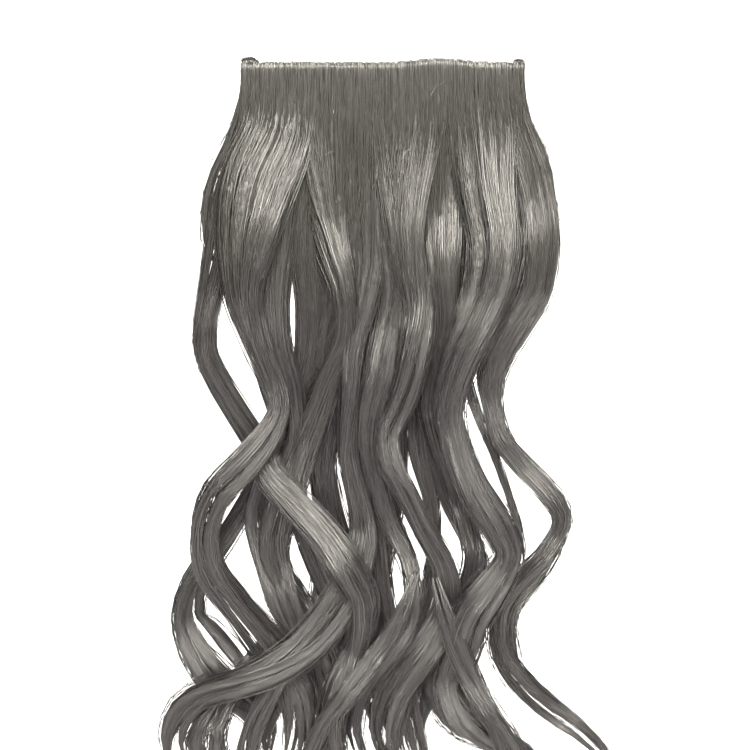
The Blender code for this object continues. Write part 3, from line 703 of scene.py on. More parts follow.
def tuft_strands(spine, tuft, twist, sizes, steps, rng):
    """The strands that lie on a tuft, a few of them coming loose on the way down."""
    wide_mm = 2000 * tuft.reach_across * spine.half_width.mean()
    count = sizes.strands_per_mm * wide_mm * (1.0 if tuft.deep >= 0 else BACK_STRANDS)
    count = max(LEAST_STRANDS, round(count))
    one = (count, 1)
    short = rng.random(count) < SHORT_SHARE
    end = tuft.end * np.where(short, rng.uniform(*SHORT_END, count), rng.uniform(*LONG_END, count))
    end = np.minimum(end, 1.0)[:, None]
    share = np.linspace(0, 1, steps)[None, :]
    where = tuft.start + (end - tuft.start) * share
    taper = tuft_taper(spine, tuft, where)
    lay = Lay(tuft_middle(spine, tuft, where, twist), rng.uniform(*STRAND_PROUD, one))
    turn = rng.uniform(0, 2 * pi, one) + TURN_SWAY * wave(where, rng, one, 0.6, 2.4)
    reach = rng.uniform(*STRAND_REACH, one) * (1 + REACH_SWAY * wave(where, rng, one, 1.0, 4.0))
    loose = (rng.random(one) < sizes.loose_share) * rng.uniform(*LOOSE_REACH, one)
    leave = rng.uniform(*LOOSE_FROM, one)
    sway = 0.5 + 0.5 * wave(share, rng, one, 0.8, 2.0)
    reach = reach * (1 + loose * sway * ease((share - leave) / LOOSE_OVER))
    taper = taper + LOOSE_TAPER * (loose > 0) * (1 - taper)
    u, v = section_point(spine, tuft, where, turn, taper, reach, lay)
    ragged = RAGGED + RAGGED_TIP * where**2
    u = u + ragged * wave(where, rng, one, 0.8, 2.5)
    v = v + ragged * wave(where, rng, one, 0.8, 2.5) * ease(where / 0.2)
    shift = tuft.shift + rng.normal(0, STRAND_SHIFT, one)
    points, outward, side, front = within_lock(spine, where, u, v, sizes, shift)
    away = unit(side * np.cos(turn)[..., None] + front * np.sin(turn)[..., None])
    radius = sizes.strand_width / 2 * rng.uniform(*STRAND_GIRTH, one) * thinning(share, THIN_FROM, THIN_LOSS)
    radius = radius * np.where(loose > 0, LOOSE_GIRTH, 1.0)
    tone = 0.45 * tuft.tone + 0.55 * rng.random(count)
    patch = tubes(points, away + outward, radius, sizes.soften, tone)
    return patch._replace(lane=patch.lane + tuft.key)


def lock_patches(name, sizes, rng):
    """All of one lock's hair."""
    spine = spine_of(name)
    steps = max(LEAST_STEPS, round(spine.length / sizes.step))
    patches = []
    for tuft in tufts_of(spine, sizes, rng):
        patches.append(tuft_core(spine, tuft, TWIST.get(name, 0), sizes, steps, rng))
        patches.append(tuft_strands(spine, tuft, TWIST.get(name, 0), sizes, steps, rng))
    return patches


def seam_lift(x):
    """Height of the seam roll's top at each x."""
    across = [row.across / 100 * WEFT_WIDTH for row in ROLL]
    lift = [row.lift / 100 * ROLL_HUMP for row in ROLL]
    return BAND_TOP + np.interp(x, across, lift)


def seam_strands(sizes, rng):
    """The hair where it is folded over the seam roll and pressed flat down to the locks."""
    count = round(sizes.seam_strands_per_mm * WEFT_WIDTH * 1000)
    steps = 12
    half = WEFT_WIDTH / 2
    x = rng.uniform(-half * 0.995, half * 0.985, count)
    top = seam_lift(x)
    low = FALL_TOP - rng.uniform(*SEAM_STRAND_LENGTH, count)
    proud = CURTAIN_FRONT - rng.uniform(*SEAM_STRAND_PROUD, count)
    drift = rng.normal(0, 0.0010, count) + x * rng.uniform(0, 0.05, count)
    over = BAND_BACK - 0.45 * (BAND_BACK - CURTAIN_FRONT)
    rows = [
        (x, over, top + 0.0002),
        (x, CURTAIN_FRONT + 0.0012, top - 0.0001),
        (x, proud, top - 0.0016),
        (x + 0.3 * drift, proud, 0.6 * top + 0.4 * low),
        (x + drift, proud + 0.020 * (low - FALL_TOP), low),
    ]
    knots = np.stack([np.stack(np.broadcast_arrays(*row), -1) for row in rows], 1)
    where = np.linspace(0, len(rows) - 1, steps)
    path = np.stack([interp(k, where) for k in knots])
    outward = np.zeros_like(path)
    outward[..., 1] = -1
    outward[:, :3, 2] = 1
    share = np.linspace(0, 1, steps)[None, :]
    radius = sizes.strand_width / 2 * rng.uniform(0.7, 1.2, (count, 1)) * thinning(share, 0.6, 0.85)
    return tubes(path, outward, radius, sizes.soften, rng.random(count))


def curtain_strands(sizes, rng):
    """The pressed hair behind the first stretch of the locks, ending at many depths."""
    count = round(sizes.seam_strands_per_mm * 1.1 * WEFT_WIDTH * 1000)
    steps = 16
    rows = np.array([CURTAIN[0]._replace(down=ROOT_DOWN), *CURTAIN], float)
    stop = rng.uniform(*CURTAIN_STRAND_DOWN, (count, 1))
    along = np.linspace(0, 1, steps)[None, :]
    down = ROOT_DOWN + (stop - ROOT_DOWN) * along
    left, right = (np.interp(down, rows[:, 0], rows[:, k]) for k in (1, 2))
    share = rng.random((count, 1))
    across = left + (right - left) * share + 0.5 * wave(down / 30, rng, (count, 1), 0.3, 1.2)
    forward = rng.uniform(*CURTAIN_STRAND_FORWARD, (count, 1)) + 0 * down
    path = place(down, across, forward)
    outward = np.zeros_like(path)
    outward[..., 1] = np.where(rng.random((count, 1)) < 0.6, -1, 1)
    radius = sizes.strand_width / 2 * rng.uniform(0.8, 1.4, (count, 1)) * thinning(along, 0.7, 0.85)
    return tubes(path, outward, radius, sizes.soften, 0.7 * rng.random(count))


def curtain_core(sizes):
    """The pressed sheet between the curtain's strands."""
    rows = [CURTAIN[0]._replace(down=ROOT_DOWN), *CURTAIN[:-1]]
    line = interp(rows, np.linspace(0, len(rows) - 1, SHEET_RINGS))
    line = line[line[:, 0] < CORE_DOWN]
    columns = SHEET_COLUMNS
    share = np.linspace(0, 1, columns)
    x = (line[:, 1:2] + (line[:, 2:3] - line[:, 1:2]) * share) / 100 * WEFT_WIDTH
    z = np.broadcast_to(FALL_TOP - line[:, 0:1] / 100 * FALL_LENGTH, x.shape)
    rounded = np.sqrt(np.maximum(0.001, 1 - (2 * share - 1) ** SHEET_SQUARENESS))
    half = SHEET_FULLNESS * line[:, 3:4] / 100 * CURTAIN_THICKNESS * rounded
    half[0], half[-1] = SHEET_EDGE, SHEET_EDGE
    back = np.stack([x, CURTAIN_MIDDLE + half, z], -1)
    front = np.stack([x, CURTAIN_MIDDLE - half, z], -1)[:, ::-1]
    ring = np.concatenate([back, front], axis=1)
    normals = np.zeros_like(ring)
    normals[:, :columns, 1] = 1
    normals[:, columns:, 1] = -1
    lane = np.concatenate([share, share[::-1] + 3]) * 60
    # Painted shade: the pressed sheet is painted as dark as the tufts' bodies
    tone = sizes.shaded_core_tone * np.random.default_rng(SEED).random(2 * columns)
    return Patch(
        ring.reshape(-1, 3), grid_faces(1, len(line), 2 * columns, closed=True), normals.reshape(-1, 3),
        np.tile(tone, len(line)), np.repeat(line[:, 0] / 100, 2 * columns), np.tile(lane, len(line)),
        np.ones(len(line) * 2 * columns),
    )


def stray_patches(sizes, rng):
    """The single strands that have left the locks."""
    patches = []
    for rows in STRAYS.values():
        line = interp(rows, np.linspace(0, len(rows) - 1, 10 * (len(rows) - 1) + 1))
        path = place(line[:, 0], line[:, 1], line[:, 2])[None]
        outward = np.zeros_like(path)
        outward[..., 1] = -1
        share = np.linspace(0, 1, path.shape[1])[None]
        radius = sizes.stray_width / 2 * thinning(share, 0.6, 0.7)
        patches.append(tubes(path, outward, radius, sizes.soften, rng.uniform(0.6, 1, 1)))
    return patches


def new_group(name, inputs, outputs):
    """An empty shader group with its sockets, given as name, socket type and, for inputs, default."""
    group = bpy.data.node_groups.new(name, "ShaderNodeTree")
    for label, kind, default in inputs:
        socket = group.interface.new_socket(label, in_out="INPUT", socket_type=kind)
        socket.default_value = default
    for label, kind in outputs:
        group.interface.new_socket(label, in_out="OUTPUT", socket_type=kind)
    return group, group.nodes.new("NodeGroupInput").outputs, group.nodes.new("NodeGroupOutput").inputs


def add_node(tree, kind, inputs=None, **settings):
    """A shader node with its settings; each input takes a value, or the socket that feeds it."""
    node = tree.nodes.new("ShaderNode" + kind)
    for key, value in settings.items():
        setattr(node, key, value)
    for key, value in (inputs or {}).items():
        if isinstance(value, bpy.types.NodeSocket):
            tree.links.new(value, node.inputs[key])
        else:
            node.inputs[key].default_value = value
    return node


def maths(tree, operation, *values, clamp=False):
    """The result of an operation on numbers or sockets."""
    return add_node(tree, "Math", dict(enumerate(values)), operation=operation, use_clamp=clamp).outputs[0]


def blended(tree, factor, low, high):
    """The colour that lies between two others, by the factor."""
    return add_node(tree, "Mix", {"Factor": factor, 6: low, 7: high}, data_type="RGBA").outputs[2]


def noise(tree, place_in, scale, detail=2.0):
    """Smooth noise over a place."""
    inputs = {"Vector": place_in, "Scale": scale, "Detail": detail}
    return add_node(tree, "TexNoise", inputs).outputs["Fac"]


def put_out(tree, out, sockets):
    """Leads sockets to the group's outputs by name."""
    for label, socket in sockets.items():
        tree.links.new(socket, out[label])


def hair_group():
    """Combed hair: its tone changes from strand to strand, and near the seam it is painted paler, a painted
    glare of light over the top of the hair.
    """
    group, given, out = new_group(
        "combed_hair",
        [
            ("Dark", "NodeSocketColor", (0.02, 0.016, 0.015, 1)),
            ("Light", "NodeSocketColor", (0.05, 0.04, 0.036, 1)),
            # The Root colour and its reach are a painted glare: a paler colour painted near the seam for the
            # haze of light over the top of the hair
            ("Root", "NodeSocketColor", (0.09, 0.085, 0.07, 1)),
            ("Root Reach", "NodeSocketFloat", 0.12),
            ("Gloss", "NodeSocketFloat", 0.3),
        ],
        [("Color", "NodeSocketColor"), ("Roughness", "NodeSocketFloat"), ("Normal", "NodeSocketVector")],
    )
    tone, fall, lane, body = (
        add_node(group, "Attribute", attribute_name=name).outputs["Fac"]
        for name in ("tone", "fall", "lane", "body")
    )
    flow = add_node(group, "CombineXYZ", {"X": lane, "Y": maths(group, "MULTIPLY", fall, 3.0)}).outputs[0]
    streaks = noise(group, flow, 3.0, 3.0)
    lightness = maths(group, "MULTIPLY_ADD", streaks, 0.5, maths(group, "MULTIPLY", tone, 0.7), clamp=True)
    # Painted glare: a mask from the seam down to the reach that blends the colour towards the pale Root
    # colour
    glare_near_root = add_node(
        group, "MapRange",
        {"Value": fall, "From Min": 0.10, "From Max": given["Root Reach"], "To Min": 1.0, "To Max": 0.0},
        interpolation_type="SMOOTHSTEP",
    ).outputs["Result"]
    colour = blended(group, lightness, given["Dark"], given["Light"])
    colour = blended(group, maths(group, "MULTIPLY", glare_near_root, lightness), colour, given["Root"])
    roughness = maths(group, "MULTIPLY_ADD", tone, -0.14, given["Gloss"])
    roughness = maths(group, "MULTIPLY_ADD", streaks, 0.28, roughness)
    roughness = maths(group, "MULTIPLY_ADD", body, 0.08, roughness)
    combed = {"Height": noise(group, flow, 24.0), "Strength": body, "Distance": 0.0008}
    normal = add_node(group, "Bump", combed).outputs["Normal"]
    put_out(group, out, {"Color": colour, "Roughness": roughness, "Normal": normal})
    return group


def weave_group():
    """Plain woven tape: threads over and under, with a little fuzz."""
    group, given, out = new_group(
        "woven_tape",
        [
            ("Warp", "NodeSocketColor", (0.03, 0.027, 0.025, 1)),
            ("Weft", "NodeSocketColor", (0.018, 0.016, 0.015, 1)),
            ("Pitch", "NodeSocketFloat", 2200.0),
        ],
        [("Color", "NodeSocketColor"), ("Roughness", "NodeSocketFloat"), ("Height", "NodeSocketFloat")],
    )
    spot = add_node(group, "TexCoord").outputs["Object"]
    split = add_node(group, "SeparateXYZ", {"Vector": spot})
    across, down = (
        maths(group, "SINE", maths(group, "MULTIPLY", split.outputs[axis], given["Pitch"]))
        for axis in ("X", "Z")
    )
    over = add_node(group, "MapRange", {"Value": maths(group, "MULTIPLY", across, down), "From Min": -1.0})
    over = over.outputs["Result"]
    fuzz = {"Value": noise(group, spot, 900.0), "To Min": 0.75, "To Max": 0.95}
    put_out(group, out, {
        "Color": blended(group, over, given["Weft"], given["Warp"]),
        "Roughness": add_node(group, "MapRange", fuzz).outputs["Result"], "Height": over,
    })
    return group


def wear_group():
    """A rubbed film of smooth noise, for the clips' enamel, the thread and the pale stage."""
    group, given, out = new_group(
        "rubbed_film",
        [
            ("Base", "NodeSocketColor", (0.02, 0.018, 0.017, 1)),
            ("Rubbed", "NodeSocketColor", (0.05, 0.048, 0.045, 1)),
            ("Scale", "NodeSocketFloat", 120.0),
            ("Gloss", "NodeSocketFloat", 0.3),
        ],
        [("Color", "NodeSocketColor"), ("Roughness", "NodeSocketFloat"), ("Height", "NodeSocketFloat")],
    )
    film = noise(group, add_node(group, "TexCoord").outputs["Object"], given["Scale"], 6.0)
    put_out(group, out, {
        "Color": blended(group, film, given["Base"], given["Rubbed"]),
        "Roughness": maths(group, "MULTIPLY_ADD", film, 0.25, given["Gloss"]), "Height": film,
    })
    return group


def shader_with(name, group, values, bump=0.0, bump_distance=0.0001):
    """A material whose Principled shader takes its colour, roughness and relief from the group."""
    material = bpy.data.materials.new(name)
    material.use_nodes = True
    tree = material.node_tree
    shader = tree.nodes["Principled BSDF"]
    source = add_node(tree, "Group", node_tree=group)
    for label, value in values.items():
        source.inputs[label].default_value = value
    tree.links.new(source.outputs["Color"], shader.inputs["Base Color"])
    tree.links.new(source.outputs["Roughness"], shader.inputs["Roughness"])
    if "Normal" in source.outputs:
        tree.links.new(source.outputs["Normal"], shader.inputs["Normal"])
    elif bump:
        relief = {"Height": source.outputs["Height"], "Strength": bump, "Distance": bump_distance}
        tree.links.new(add_node(tree, "Bump", relief).outputs["Normal"], shader.inputs["Normal"])
    return material, shader


def group_named(name, build):
    """The shader group of that name, built the first time it is asked for."""
    return bpy.data.node_groups.get(name) or build()


def hair_material(looks):
    """The satin finish of all the hair, made once."""
    if "combed_hair_satin" in bpy.data.materials:
        return bpy.data.materials["combed_hair_satin"]
    material, shader = shader_with(
        "combed_hair_satin", group_named("combed_hair", hair_group),
        {
            # Root and its reach paint a pale glare near the seam
            "Dark": (*looks.dark, 1), "Light": (*looks.light, 1), "Root": (*looks.root, 1),
            "Root Reach": looks.root_reach, "Gloss": looks.roughness,
        },
    )
    shader.inputs["Specular IOR Level"].default_value = looks.shine
    shader.inputs["IOR"].default_value = 1.5
    return material


def thread_tube(points, radius):
    """Points and faces of a thread along a few points."""
    points = np.asarray(points, float)
    along = unit(np.gradient(points, axis=0))
    spare = np.where(np.abs(along[:, 1:2]) > 0.9, (0, 0, 1), (0, 1, 0))
    side = unit(np.cross(along, spare))
    other = np.cross(along, side)
    turn = 2 * pi * np.arange(THREAD_SIDES)[None, :, None] / THREAD_SIDES
    ring = points[:, None] + radius * (np.cos(turn) * side[:, None] + np.sin(turn) * other[:, None])
    return ring.reshape(-1, 3), grid_faces(1, len(points), THREAD_SIDES, closed=True)


def thread_piece(name, parts, thread):
    """One piece of thread from many tubes, sewn to the band."""
    shift = np.cumsum([0] + [len(points) for points, _ in parts[:-1]])
    points = np.concatenate([one for one, _ in parts])
    faces = np.concatenate([quads + at for (_, quads), at in zip(parts, shift)])
    piece = mesh_piece(name, points, faces, thread)
    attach(piece, "root")


class HairSizes(bpy.types.PropertyGroup):
    """Sizes of the strands and how they lie"""

    tuft_width: FloatProperty(
        name="Tuft width", description="Width of one tuft of a lock", default=0.0062, subtype="DISTANCE",
        unit="LENGTH", precision=4,
    )
    strands_per_mm: FloatProperty(
        name="Strands per millimetre", description="Strands for each millimetre of a tuft's width",
        default=4.0, min=0.5, max=12.0,
    )
    seam_strands_per_mm: FloatProperty(
        name="Seam strands per millimetre", description="Strands for each millimetre of the seam",
        default=6.0, min=1.0, max=20.0,
    )
    strand_width: FloatProperty(
        name="Strand width", description="Width of one strand", default=0.00056, subtype="DISTANCE",
        unit="LENGTH", precision=5,
    )
    stray_width: FloatProperty(
        name="Stray width", description="Width of a single stray strand", default=0.00030,
        subtype="DISTANCE", unit="LENGTH", precision=5,
    )
    step: FloatProperty(
        name="Step", description="Length between two rings of a strand", default=0.0122, subtype="DISTANCE",
        unit="LENGTH", precision=4,
    )
    loose_share: FloatProperty(
        name="Loose share", description="Share of the strands that come loose from their tuft", default=0.09,
        min=0.0, max=1.0, subtype="FACTOR",
    )
    root_fan: FloatProperty(
        name="Root fan", description="How much wider a lock's hair spreads at the seam", default=0.6,
        min=0.0,
    )
    core_share: FloatProperty(
        name="Core share", description="Size of a tuft's body as a share of its strands' reach",
        default=0.78, min=0.3, max=1.0, subtype="FACTOR",
    )
    # Painted shade: how much darker the tufts' bodies and the pressed sheet are painted, so the creases
    # between strands look shaded
    shaded_core_tone: FloatProperty(
        name="Core tone", description="Tone of a tuft's body beside that of its strands", default=0.6,
        min=0.0, max=1.0, subtype="FACTOR",
    )
    soften: FloatProperty(
        name="Soften", description="How far a strand's shading turns with its tuft", default=0.45, min=0.0,
    )
    seed: IntProperty(name="Seed", description="Picks another arrangement of the strands", default=SEED)


class HairLooks(bpy.types.PropertyGroup):
    """Colours and gloss of the hair"""

    dark: FloatVectorProperty(
        name="Dark strands", description="Colour of the darkest strands", default=(0.0040, 0.0036, 0.0048),
        size=3, subtype="COLOR", min=0.0, max=1.0,
    )
    light: FloatVectorProperty(
        name="Light strands", description="Colour of the lightest strands", default=(0.0140, 0.0122, 0.0122),
        size=3, subtype="COLOR", min=0.0, max=1.0,
    )
    # A pale colour painted near the seam: a painted glare of light over the top of the hair, not a colour of
    # the hair itself
    root: FloatVectorProperty(
        name="Root", description="Colour of the pressed hair by the seam", default=(0.0200, 0.0192, 0.0165),
        size=3, subtype="COLOR", min=0.0, max=1.0,
    )
    # How far down the painted glare near the seam reaches
    root_reach: FloatProperty(
        name="Root reach", description="How far down the paler hair goes, as a share of the fall",
        default=0.42, min=0.0, max=1.0, subtype="FACTOR",
    )
    roughness: FloatProperty(
        name="Roughness", description="Roughness of a strand before its own variation", default=0.17,
        min=0.0, max=1.0, subtype="FACTOR",
    )
    shine: FloatProperty(
        name="Shine", description="Specular level of the strands", default=0.5, min=0.0, max=1.0,
        subtype="FACTOR",
    )


class StageLooks(bpy.types.PropertyGroup):
    """The floor, the backdrop, the lights and the camera"""

    floor_drop: FloatProperty(
        name="Floor drop", description="How far the floor lies under the hair's tips", default=0.10,
        subtype="DISTANCE", unit="LENGTH",
    )
    wall_distance: FloatProperty(
        name="Wall distance", description="How far the backdrop stands behind the hair", default=2.2,
        subtype="DISTANCE", unit="LENGTH",
    )
    sky: FloatProperty(name="Sky", description="Strength of the light from all round", default=0.86, min=0.0)
    key: FloatProperty(
        name="Key light", description="Power of the large soft light above the camera", default=70.0,
        subtype="POWER", unit="POWER",
    )
    key_lift: FloatProperty(
        name="Key lift", description="Angle of the key light above the hair", default=radians(36),
        subtype="ANGLE", unit="ROTATION",
    )
    low: FloatProperty(
        name="Low light", description="Power of the narrow light on the curled lower half", default=1.1,
        subtype="POWER", unit="POWER",
    )
    wall_glow: FloatProperty(
        name="Backdrop glow", description="Light that the backdrop gives by itself", default=0.70, min=0.0,
    )
    lens: FloatProperty(
        name="Lens", description="Focal length on a 36 mm sensor", default=80.0, unit="CAMERA",
    )


class HAIRPIECE_OT_band(bpy.types.Operator):
    """Weave the tape and sew its stitches"""

    bl_idname = "hairpiece.band"
    bl_label = "Band and stitches"

    def execute(self, context):
        tape, shader = shader_with(
            "woven_tape_black", group_named("woven_tape", weave_group), {"Pitch": 5200.0}, 0.6, 0.0002,
        )
        shader.inputs["Sheen Weight"].default_value = 0.15
        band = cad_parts["weft_band"]
        band.data.materials.clear()
        band.data.materials.append(tape)
        thread, _ = shader_with(
            "sewing_thread", group_named("rubbed_film", wear_group),
            {
                "Base": (0.022, 0.019, 0.018, 1), "Rubbed": (0.05, 0.045, 0.042, 1),
                "Scale": 2500.0, "Gloss": 0.45,
            },
            0.4, 0.00005,
        )
        sew_tape_rows(thread)
        sew_seam(thread)
        return {"FINISHED"}


def wound_lump(x, length, height, sizes, rng):
    """Strands wound round a lump at the end of the seam, and the fuzz that stands out of it."""
    middle = np.array([x, (BAND_BACK + CURTAIN_FRONT) / 2, BAND_TOP])
    half = np.array([length, (BAND_BACK - CURTAIN_FRONT) * 1.05, height]) / 2
    loops, steps = WOUND_STRANDS, 16
    at = rng.uniform(*WOUND_ALONG, (loops, 1))
    girth = np.sqrt(1 - at**2) * rng.uniform(*WOUND_PROUD, (loops, 1))
    turn = rng.uniform(0, 2 * pi, (loops, 1)) + np.linspace(0, WOUND_TURN, steps)[None, :]
    lean = rng.uniform(*WOUND_LEAN, (loops, 1)) * np.sin(turn)
    path = middle + half * np.stack([at + lean, girth * np.cos(turn), girth * np.sin(turn)], -1)
    thin = 1 - 0.85 * np.abs(np.linspace(-1, 1, steps)) ** 6
    radius = sizes.strand_width * 0.55 * thin * np.ones((loops, 1))
    wound = tubes(path, path - middle, radius, 0.2, rng.random(loops))

    hairs, steps = FUZZ_HAIRS, 6
    grown = np.linspace(0, 1, steps)[None, :, None]
    way = unit(rng.normal(0, 1, (hairs, 3)) * (1, 0.6, 1))
    way[:, 2] = np.abs(way[:, 2])
    out = np.linspace(0.9, 1.0, steps)[None, :, None] * half * way[:, None]
    reach = rng.uniform(*FUZZ_LENGTH, (hairs, 1, 1)) * grown
    bend = rng.normal(0, 0.5, (hairs, 1, 3)) * grown
    path = middle + out + reach * unit(way[:, None] + bend)
    radius = sizes.stray_width * 0.4 * np.linspace(1, 0.3, steps) * np.ones((hairs, 1))
    fuzz = tubes(path, path - middle + (0, -0.001, 0), radius, 0.2, rng.random(hairs))
    return [wound, fuzz]


def sew_tape_rows(thread):
    """Two straight rows of stitches along the back of the tape."""
    pitch, length, margin = 0.0030, 0.0021, 0.004
    sink, proud = BAND_BACK - 0.0001, BAND_BACK + 0.00018
    parts = []
    for z in (BAND_TOP - ROLL_HEIGHT * 0.55, BAND_BOTTOM + 0.0012):
        for x in np.arange(-WEFT_WIDTH / 2 + margin, WEFT_WIDTH / 2 - margin, pitch):
            stitch = [
                (x, sink, z), (x + length * 0.2, proud, z),
                (x + length * 0.8, proud, z), (x + length, sink, z),
            ]
            parts.append(thread_tube(stitch, 0.00016))
    thread_piece("tape_stitches", parts, thread)


def sew_seam(thread):
    """Small stitches over the front of the seam roll, slanting one way."""
    pitch, slant, margin = 0.0024, 0.0009, 0.005
    y = CURTAIN_FRONT - 0.0007
    parts = []
    for x in np.arange(-WEFT_WIDTH / 2 + margin, WEFT_WIDTH / 2 - margin, pitch):
        top = float(seam_lift(x))
        stitch = [
            (x - slant / 2, y + 0.0012, top - 0.0003), (x - slant / 4, y, top - 0.0011),
            (x + slant / 4, y, top - 0.0022), (x + slant / 2, y + 0.0004, top - 0.0031),
        ]
        parts.append(thread_tube(stitch, 0.00013))
    thread_piece("seam_stitches", parts, thread)


class HAIRPIECE_OT_clips(bpy.types.Operator):
    """Enamel the snap clips and tie them on with thread"""

    bl_idname = "hairpiece.clips"
    bl_label = "Clips and ties"

    def execute(self, context):
        enamel, shader = shader_with(
            "clip_enamel", group_named("rubbed_film", wear_group),
            {
                "Base": (0.014, 0.013, 0.013, 1), "Rubbed": (0.045, 0.042, 0.040, 1),
                "Scale": 240.0, "Gloss": 0.22,
            },
            0.15, 0.0001,
        )
        shader.inputs["Coat Weight"].default_value = 0.4
        shader.inputs["Coat Roughness"].default_value = 0.15
        thread = bpy.data.materials["sewing_thread"]
        for name in ("clip_left", "clip_middle", "clip_right"):
            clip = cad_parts[name]
            clip.data.materials.clear()
            clip.data.materials.append(enamel)
            low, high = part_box(name)
            parts = []
            for x in (low.x + 0.0011, low.x + 0.0018, high.x - 0.0018, high.x - 0.0011):
                for z in (low.z + 0.0034, high.z - 0.0034):
                    parts.append(tie(x, z, low.y, high.y, low.x if x < (low.x + high.x) / 2 else high.x))
            thread_piece("ties_" + name, parts, thread)
        return {"FINISHED"}


def tie(x, z, y_band, y_face, edge):
    """A loop of thread from the tape over the clip's end frame."""
    out = edge + (0.0004 if edge > x else -0.0004)
    return thread_tube([
        (x, y_band, z + 0.0003), (x, y_face + 0.0003, z + 0.0001), (edge, y_face + 0.0003, z),
        (out, y_face - 0.0006, z - 0.0001), (out, y_band, z - 0.0003),
    ], 0.00017)


class HAIRPIECE_OT_curtain(bpy.types.Operator):
    """Press the first stretch of hair flat under the seam"""

    bl_idname = "hairpiece.curtain"
    bl_label = "Curtain"

    def execute(self, context):
        sizes = context.scene.hairpiece_sizes
        rng = np.random.default_rng(sizes.seed)
        patches = [curtain_core(sizes), curtain_strands(sizes, rng), seam_strands(sizes, rng)]
        hair_piece("curtain", patches, hair_material(context.scene.hairpiece_looks))
        return {"FINISHED"}


class HAIRPIECE_OT_locks(bpy.types.Operator):
    """Comb every wavy lock"""

    bl_idname = "hairpiece.locks"
    bl_label = "Locks"

    def execute(self, context):
        sizes = context.scene.hairpiece_sizes
        material = hair_material(context.scene.hairpiece_looks)
        rng = np.random.default_rng(sizes.seed + 1)
        for name in (*LOCKS, *WISPS):
            hair_piece("lock_" + name, lock_patches(name, sizes, rng), material)
        return {"FINISHED"}


class HAIRPIECE_OT_strays(bpy.types.Operator):
    """Add the single strands that stray from the locks"""

    bl_idname = "hairpiece.strays"
    bl_label = "Stray strands"

    def execute(self, context):
        sizes = context.scene.hairpiece_sizes
        rng = np.random.default_rng(sizes.seed + 2)
        material = hair_material(context.scene.hairpiece_looks)
        hair_piece("stray_strands", stray_patches(sizes, rng), material)
        for name, x, length, height in (
            ("knot_strands", KNOT_LENGTH / 2 - WEFT_WIDTH / 2, KNOT_LENGTH, KNOT_HEIGHT),
            ("corner_strands", WEFT_WIDTH / 2 - CORNER_LENGTH / 2, CORNER_LENGTH, CORNER_HEIGHT),
        ):
            hair_piece(name, wound_lump(x, length, height, sizes, rng), material)
        return {"FINISHED"}


def aim(thing, at):
    """Turns a light to face a place."""
    thing.rotation_euler = (Vector(at) - thing.location).to_track_quat("-Z", "Y").to_euler()


def soft_light(name, place_at, at, size, power):
    """A warm rectangle of light that faces a place."""
    lamp = bpy.data.lights.new(name, "AREA")
    lamp.shape = "RECTANGLE"
    lamp.size, lamp.size_y = size
    lamp.energy = power
    lamp.color = (1.0, 0.95, 0.85)
    light = bpy.data.objects.new(name, lamp)
    light.location = place_at
    aim(light, at)
    bpy.context.scene.collection.objects.link(light)
    return light


class HAIRPIECE_OT_stage(bpy.types.Operator):
    """Set up the pale sweep, the soft lights and the camera"""

    bl_idname = "hairpiece.stage"
    bl_label = "Stage"

    def execute(self, context):
        scene = context.scene
        looks = scene.hairpiece_stage
        floor = CAD_BOX[0][2] - looks.floor_drop
        make_sweep(floor, looks)
        world = bpy.data.worlds.new("studio")
        world.use_nodes = True
        sky = world.node_tree.nodes["Background"]
        sky.inputs["Color"].default_value = (1.0, 0.995, 0.98, 1)
        sky.inputs["Strength"].default_value = looks.sky
        scene.world = world
        middle = Vector((0, CURTAIN_MIDDLE, MIDDLE_HEIGHT))
        reach, key_aside = 1.2, 0.12
        lift = looks.key_lift
        key_at = middle + reach * Vector((key_aside, -np.cos(lift), np.sin(lift)))
        soft_light("key", key_at, middle, (0.9, 0.3), looks.key)
        curls_below, low_way = 0.12, Vector((-0.1, -0.97, 0.24))
        curls = middle - Vector((0, 0, curls_below))
        low = soft_light("low", curls + reach * low_way, curls, (0.6, 0.12), looks.low)
        low.data.spread = radians(26)
        make_camera(looks)
        scene.view_settings.view_transform = "Standard"
        return {"FINISHED"}


def make_sweep(floor, looks):
    """A pale floor that rises in one curve into the backdrop."""
    radius, half, steps = 0.6, 4.0, 16
    wall = looks.wall_distance
    profile = [(-half, floor)]
    for i in range(steps + 1):
        turn = pi / 2 * i / steps
        profile.append((wall - radius + radius * np.sin(turn), floor + radius * (1 - np.cos(turn))))
    profile.append((wall, floor + half))
    points = np.array([[(x, y, z) for x in (half, -half)] for y, z in profile], float)
    paper, shader = shader_with(
        "pale_paper", group_named("rubbed_film", wear_group),
        {"Base": (0.90, 0.89, 0.87, 1), "Rubbed": (0.93, 0.925, 0.91, 1), "Scale": 9.0, "Gloss": 0.6},
    )
    shader.inputs["Emission Color"].default_value = (1.0, 0.995, 0.98, 1)
    shader.inputs["Emission Strength"].default_value = looks.wall_glow
    sweep = mesh_piece("sweep", points.reshape(-1, 3), grid_faces(1, len(profile), 2), paper)


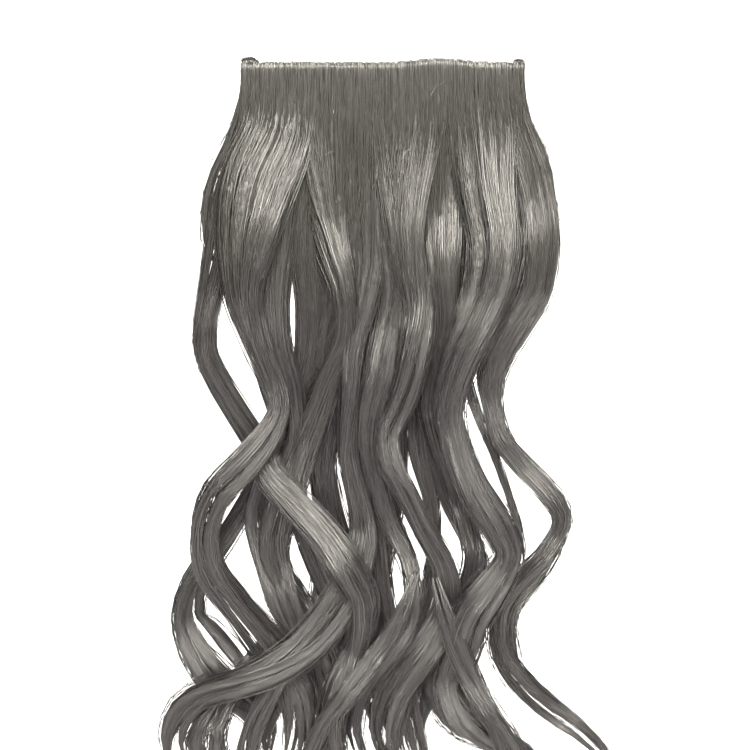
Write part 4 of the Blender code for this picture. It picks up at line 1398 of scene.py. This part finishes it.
def make_camera(looks):
    """The camera faces the hair squarely, with the photo's framing."""
    photo_width = 748
    metres_per_pixel = 0.0006
    picture_middle = Vector((374, 375))
    band_middle, band_top = 383, 64
    lens = bpy.data.cameras.new("camera")
    lens.lens = looks.lens
    lens.sensor_width = 36.0
    distance = photo_width * metres_per_pixel * looks.lens / lens.sensor_width
    camera = bpy.data.objects.new("camera", lens)
    camera.location = (
        (picture_middle.x - band_middle) * metres_per_pixel,
        CURTAIN_MIDDLE - distance,
        BAND_TOP - (picture_middle.y - band_top) * metres_per_pixel,
    )
    camera.rotation_euler = (radians(90), 0, 0)
    bpy.context.scene.collection.objects.link(camera)
    bpy.context.scene.camera = camera


class HAIRPIECE_PT_panel(bpy.types.Panel):
    """Lists the steps and their sizes"""

    bl_label = "Hairpiece"
    bl_space_type = "VIEW_3D"
    bl_region_type = "UI"
    bl_category = "Hairpiece"

    def draw(self, context):
        layout = self.layout
        for step in STEPS:
            layout.operator(step.bl_idname)
        scene = context.scene
        for group in (scene.hairpiece_sizes, scene.hairpiece_looks, scene.hairpiece_stage):
            column = layout.column()
            for key in group.__annotations__:
                column.prop(group, key)


STEPS = (
    HAIRPIECE_OT_band, HAIRPIECE_OT_clips, HAIRPIECE_OT_curtain, HAIRPIECE_OT_locks, HAIRPIECE_OT_strays,
    HAIRPIECE_OT_stage,
)
CLASSES = (HairSizes, HairLooks, StageLooks, *STEPS, HAIRPIECE_PT_panel)


def register():
    for kind in CLASSES:
        bpy.utils.register_class(kind)
    bpy.types.Scene.hairpiece_sizes = PointerProperty(type=HairSizes)
    bpy.types.Scene.hairpiece_looks = PointerProperty(type=HairLooks)
    bpy.types.Scene.hairpiece_stage = PointerProperty(type=StageLooks)


def unregister():
    del bpy.types.Scene.hairpiece_stage
    del bpy.types.Scene.hairpiece_looks
    del bpy.types.Scene.hairpiece_sizes
    for kind in reversed(CLASSES):
        bpy.utils.unregister_class(kind)


def main():
    register()
    bpy.ops.hairpiece.band()
    bpy.ops.hairpiece.clips()
    bpy.ops.hairpiece.curtain()
    bpy.ops.hairpiece.locks()
    bpy.ops.hairpiece.strays()
    bpy.ops.hairpiece.stage()


if __name__ == "__main__":
    main()
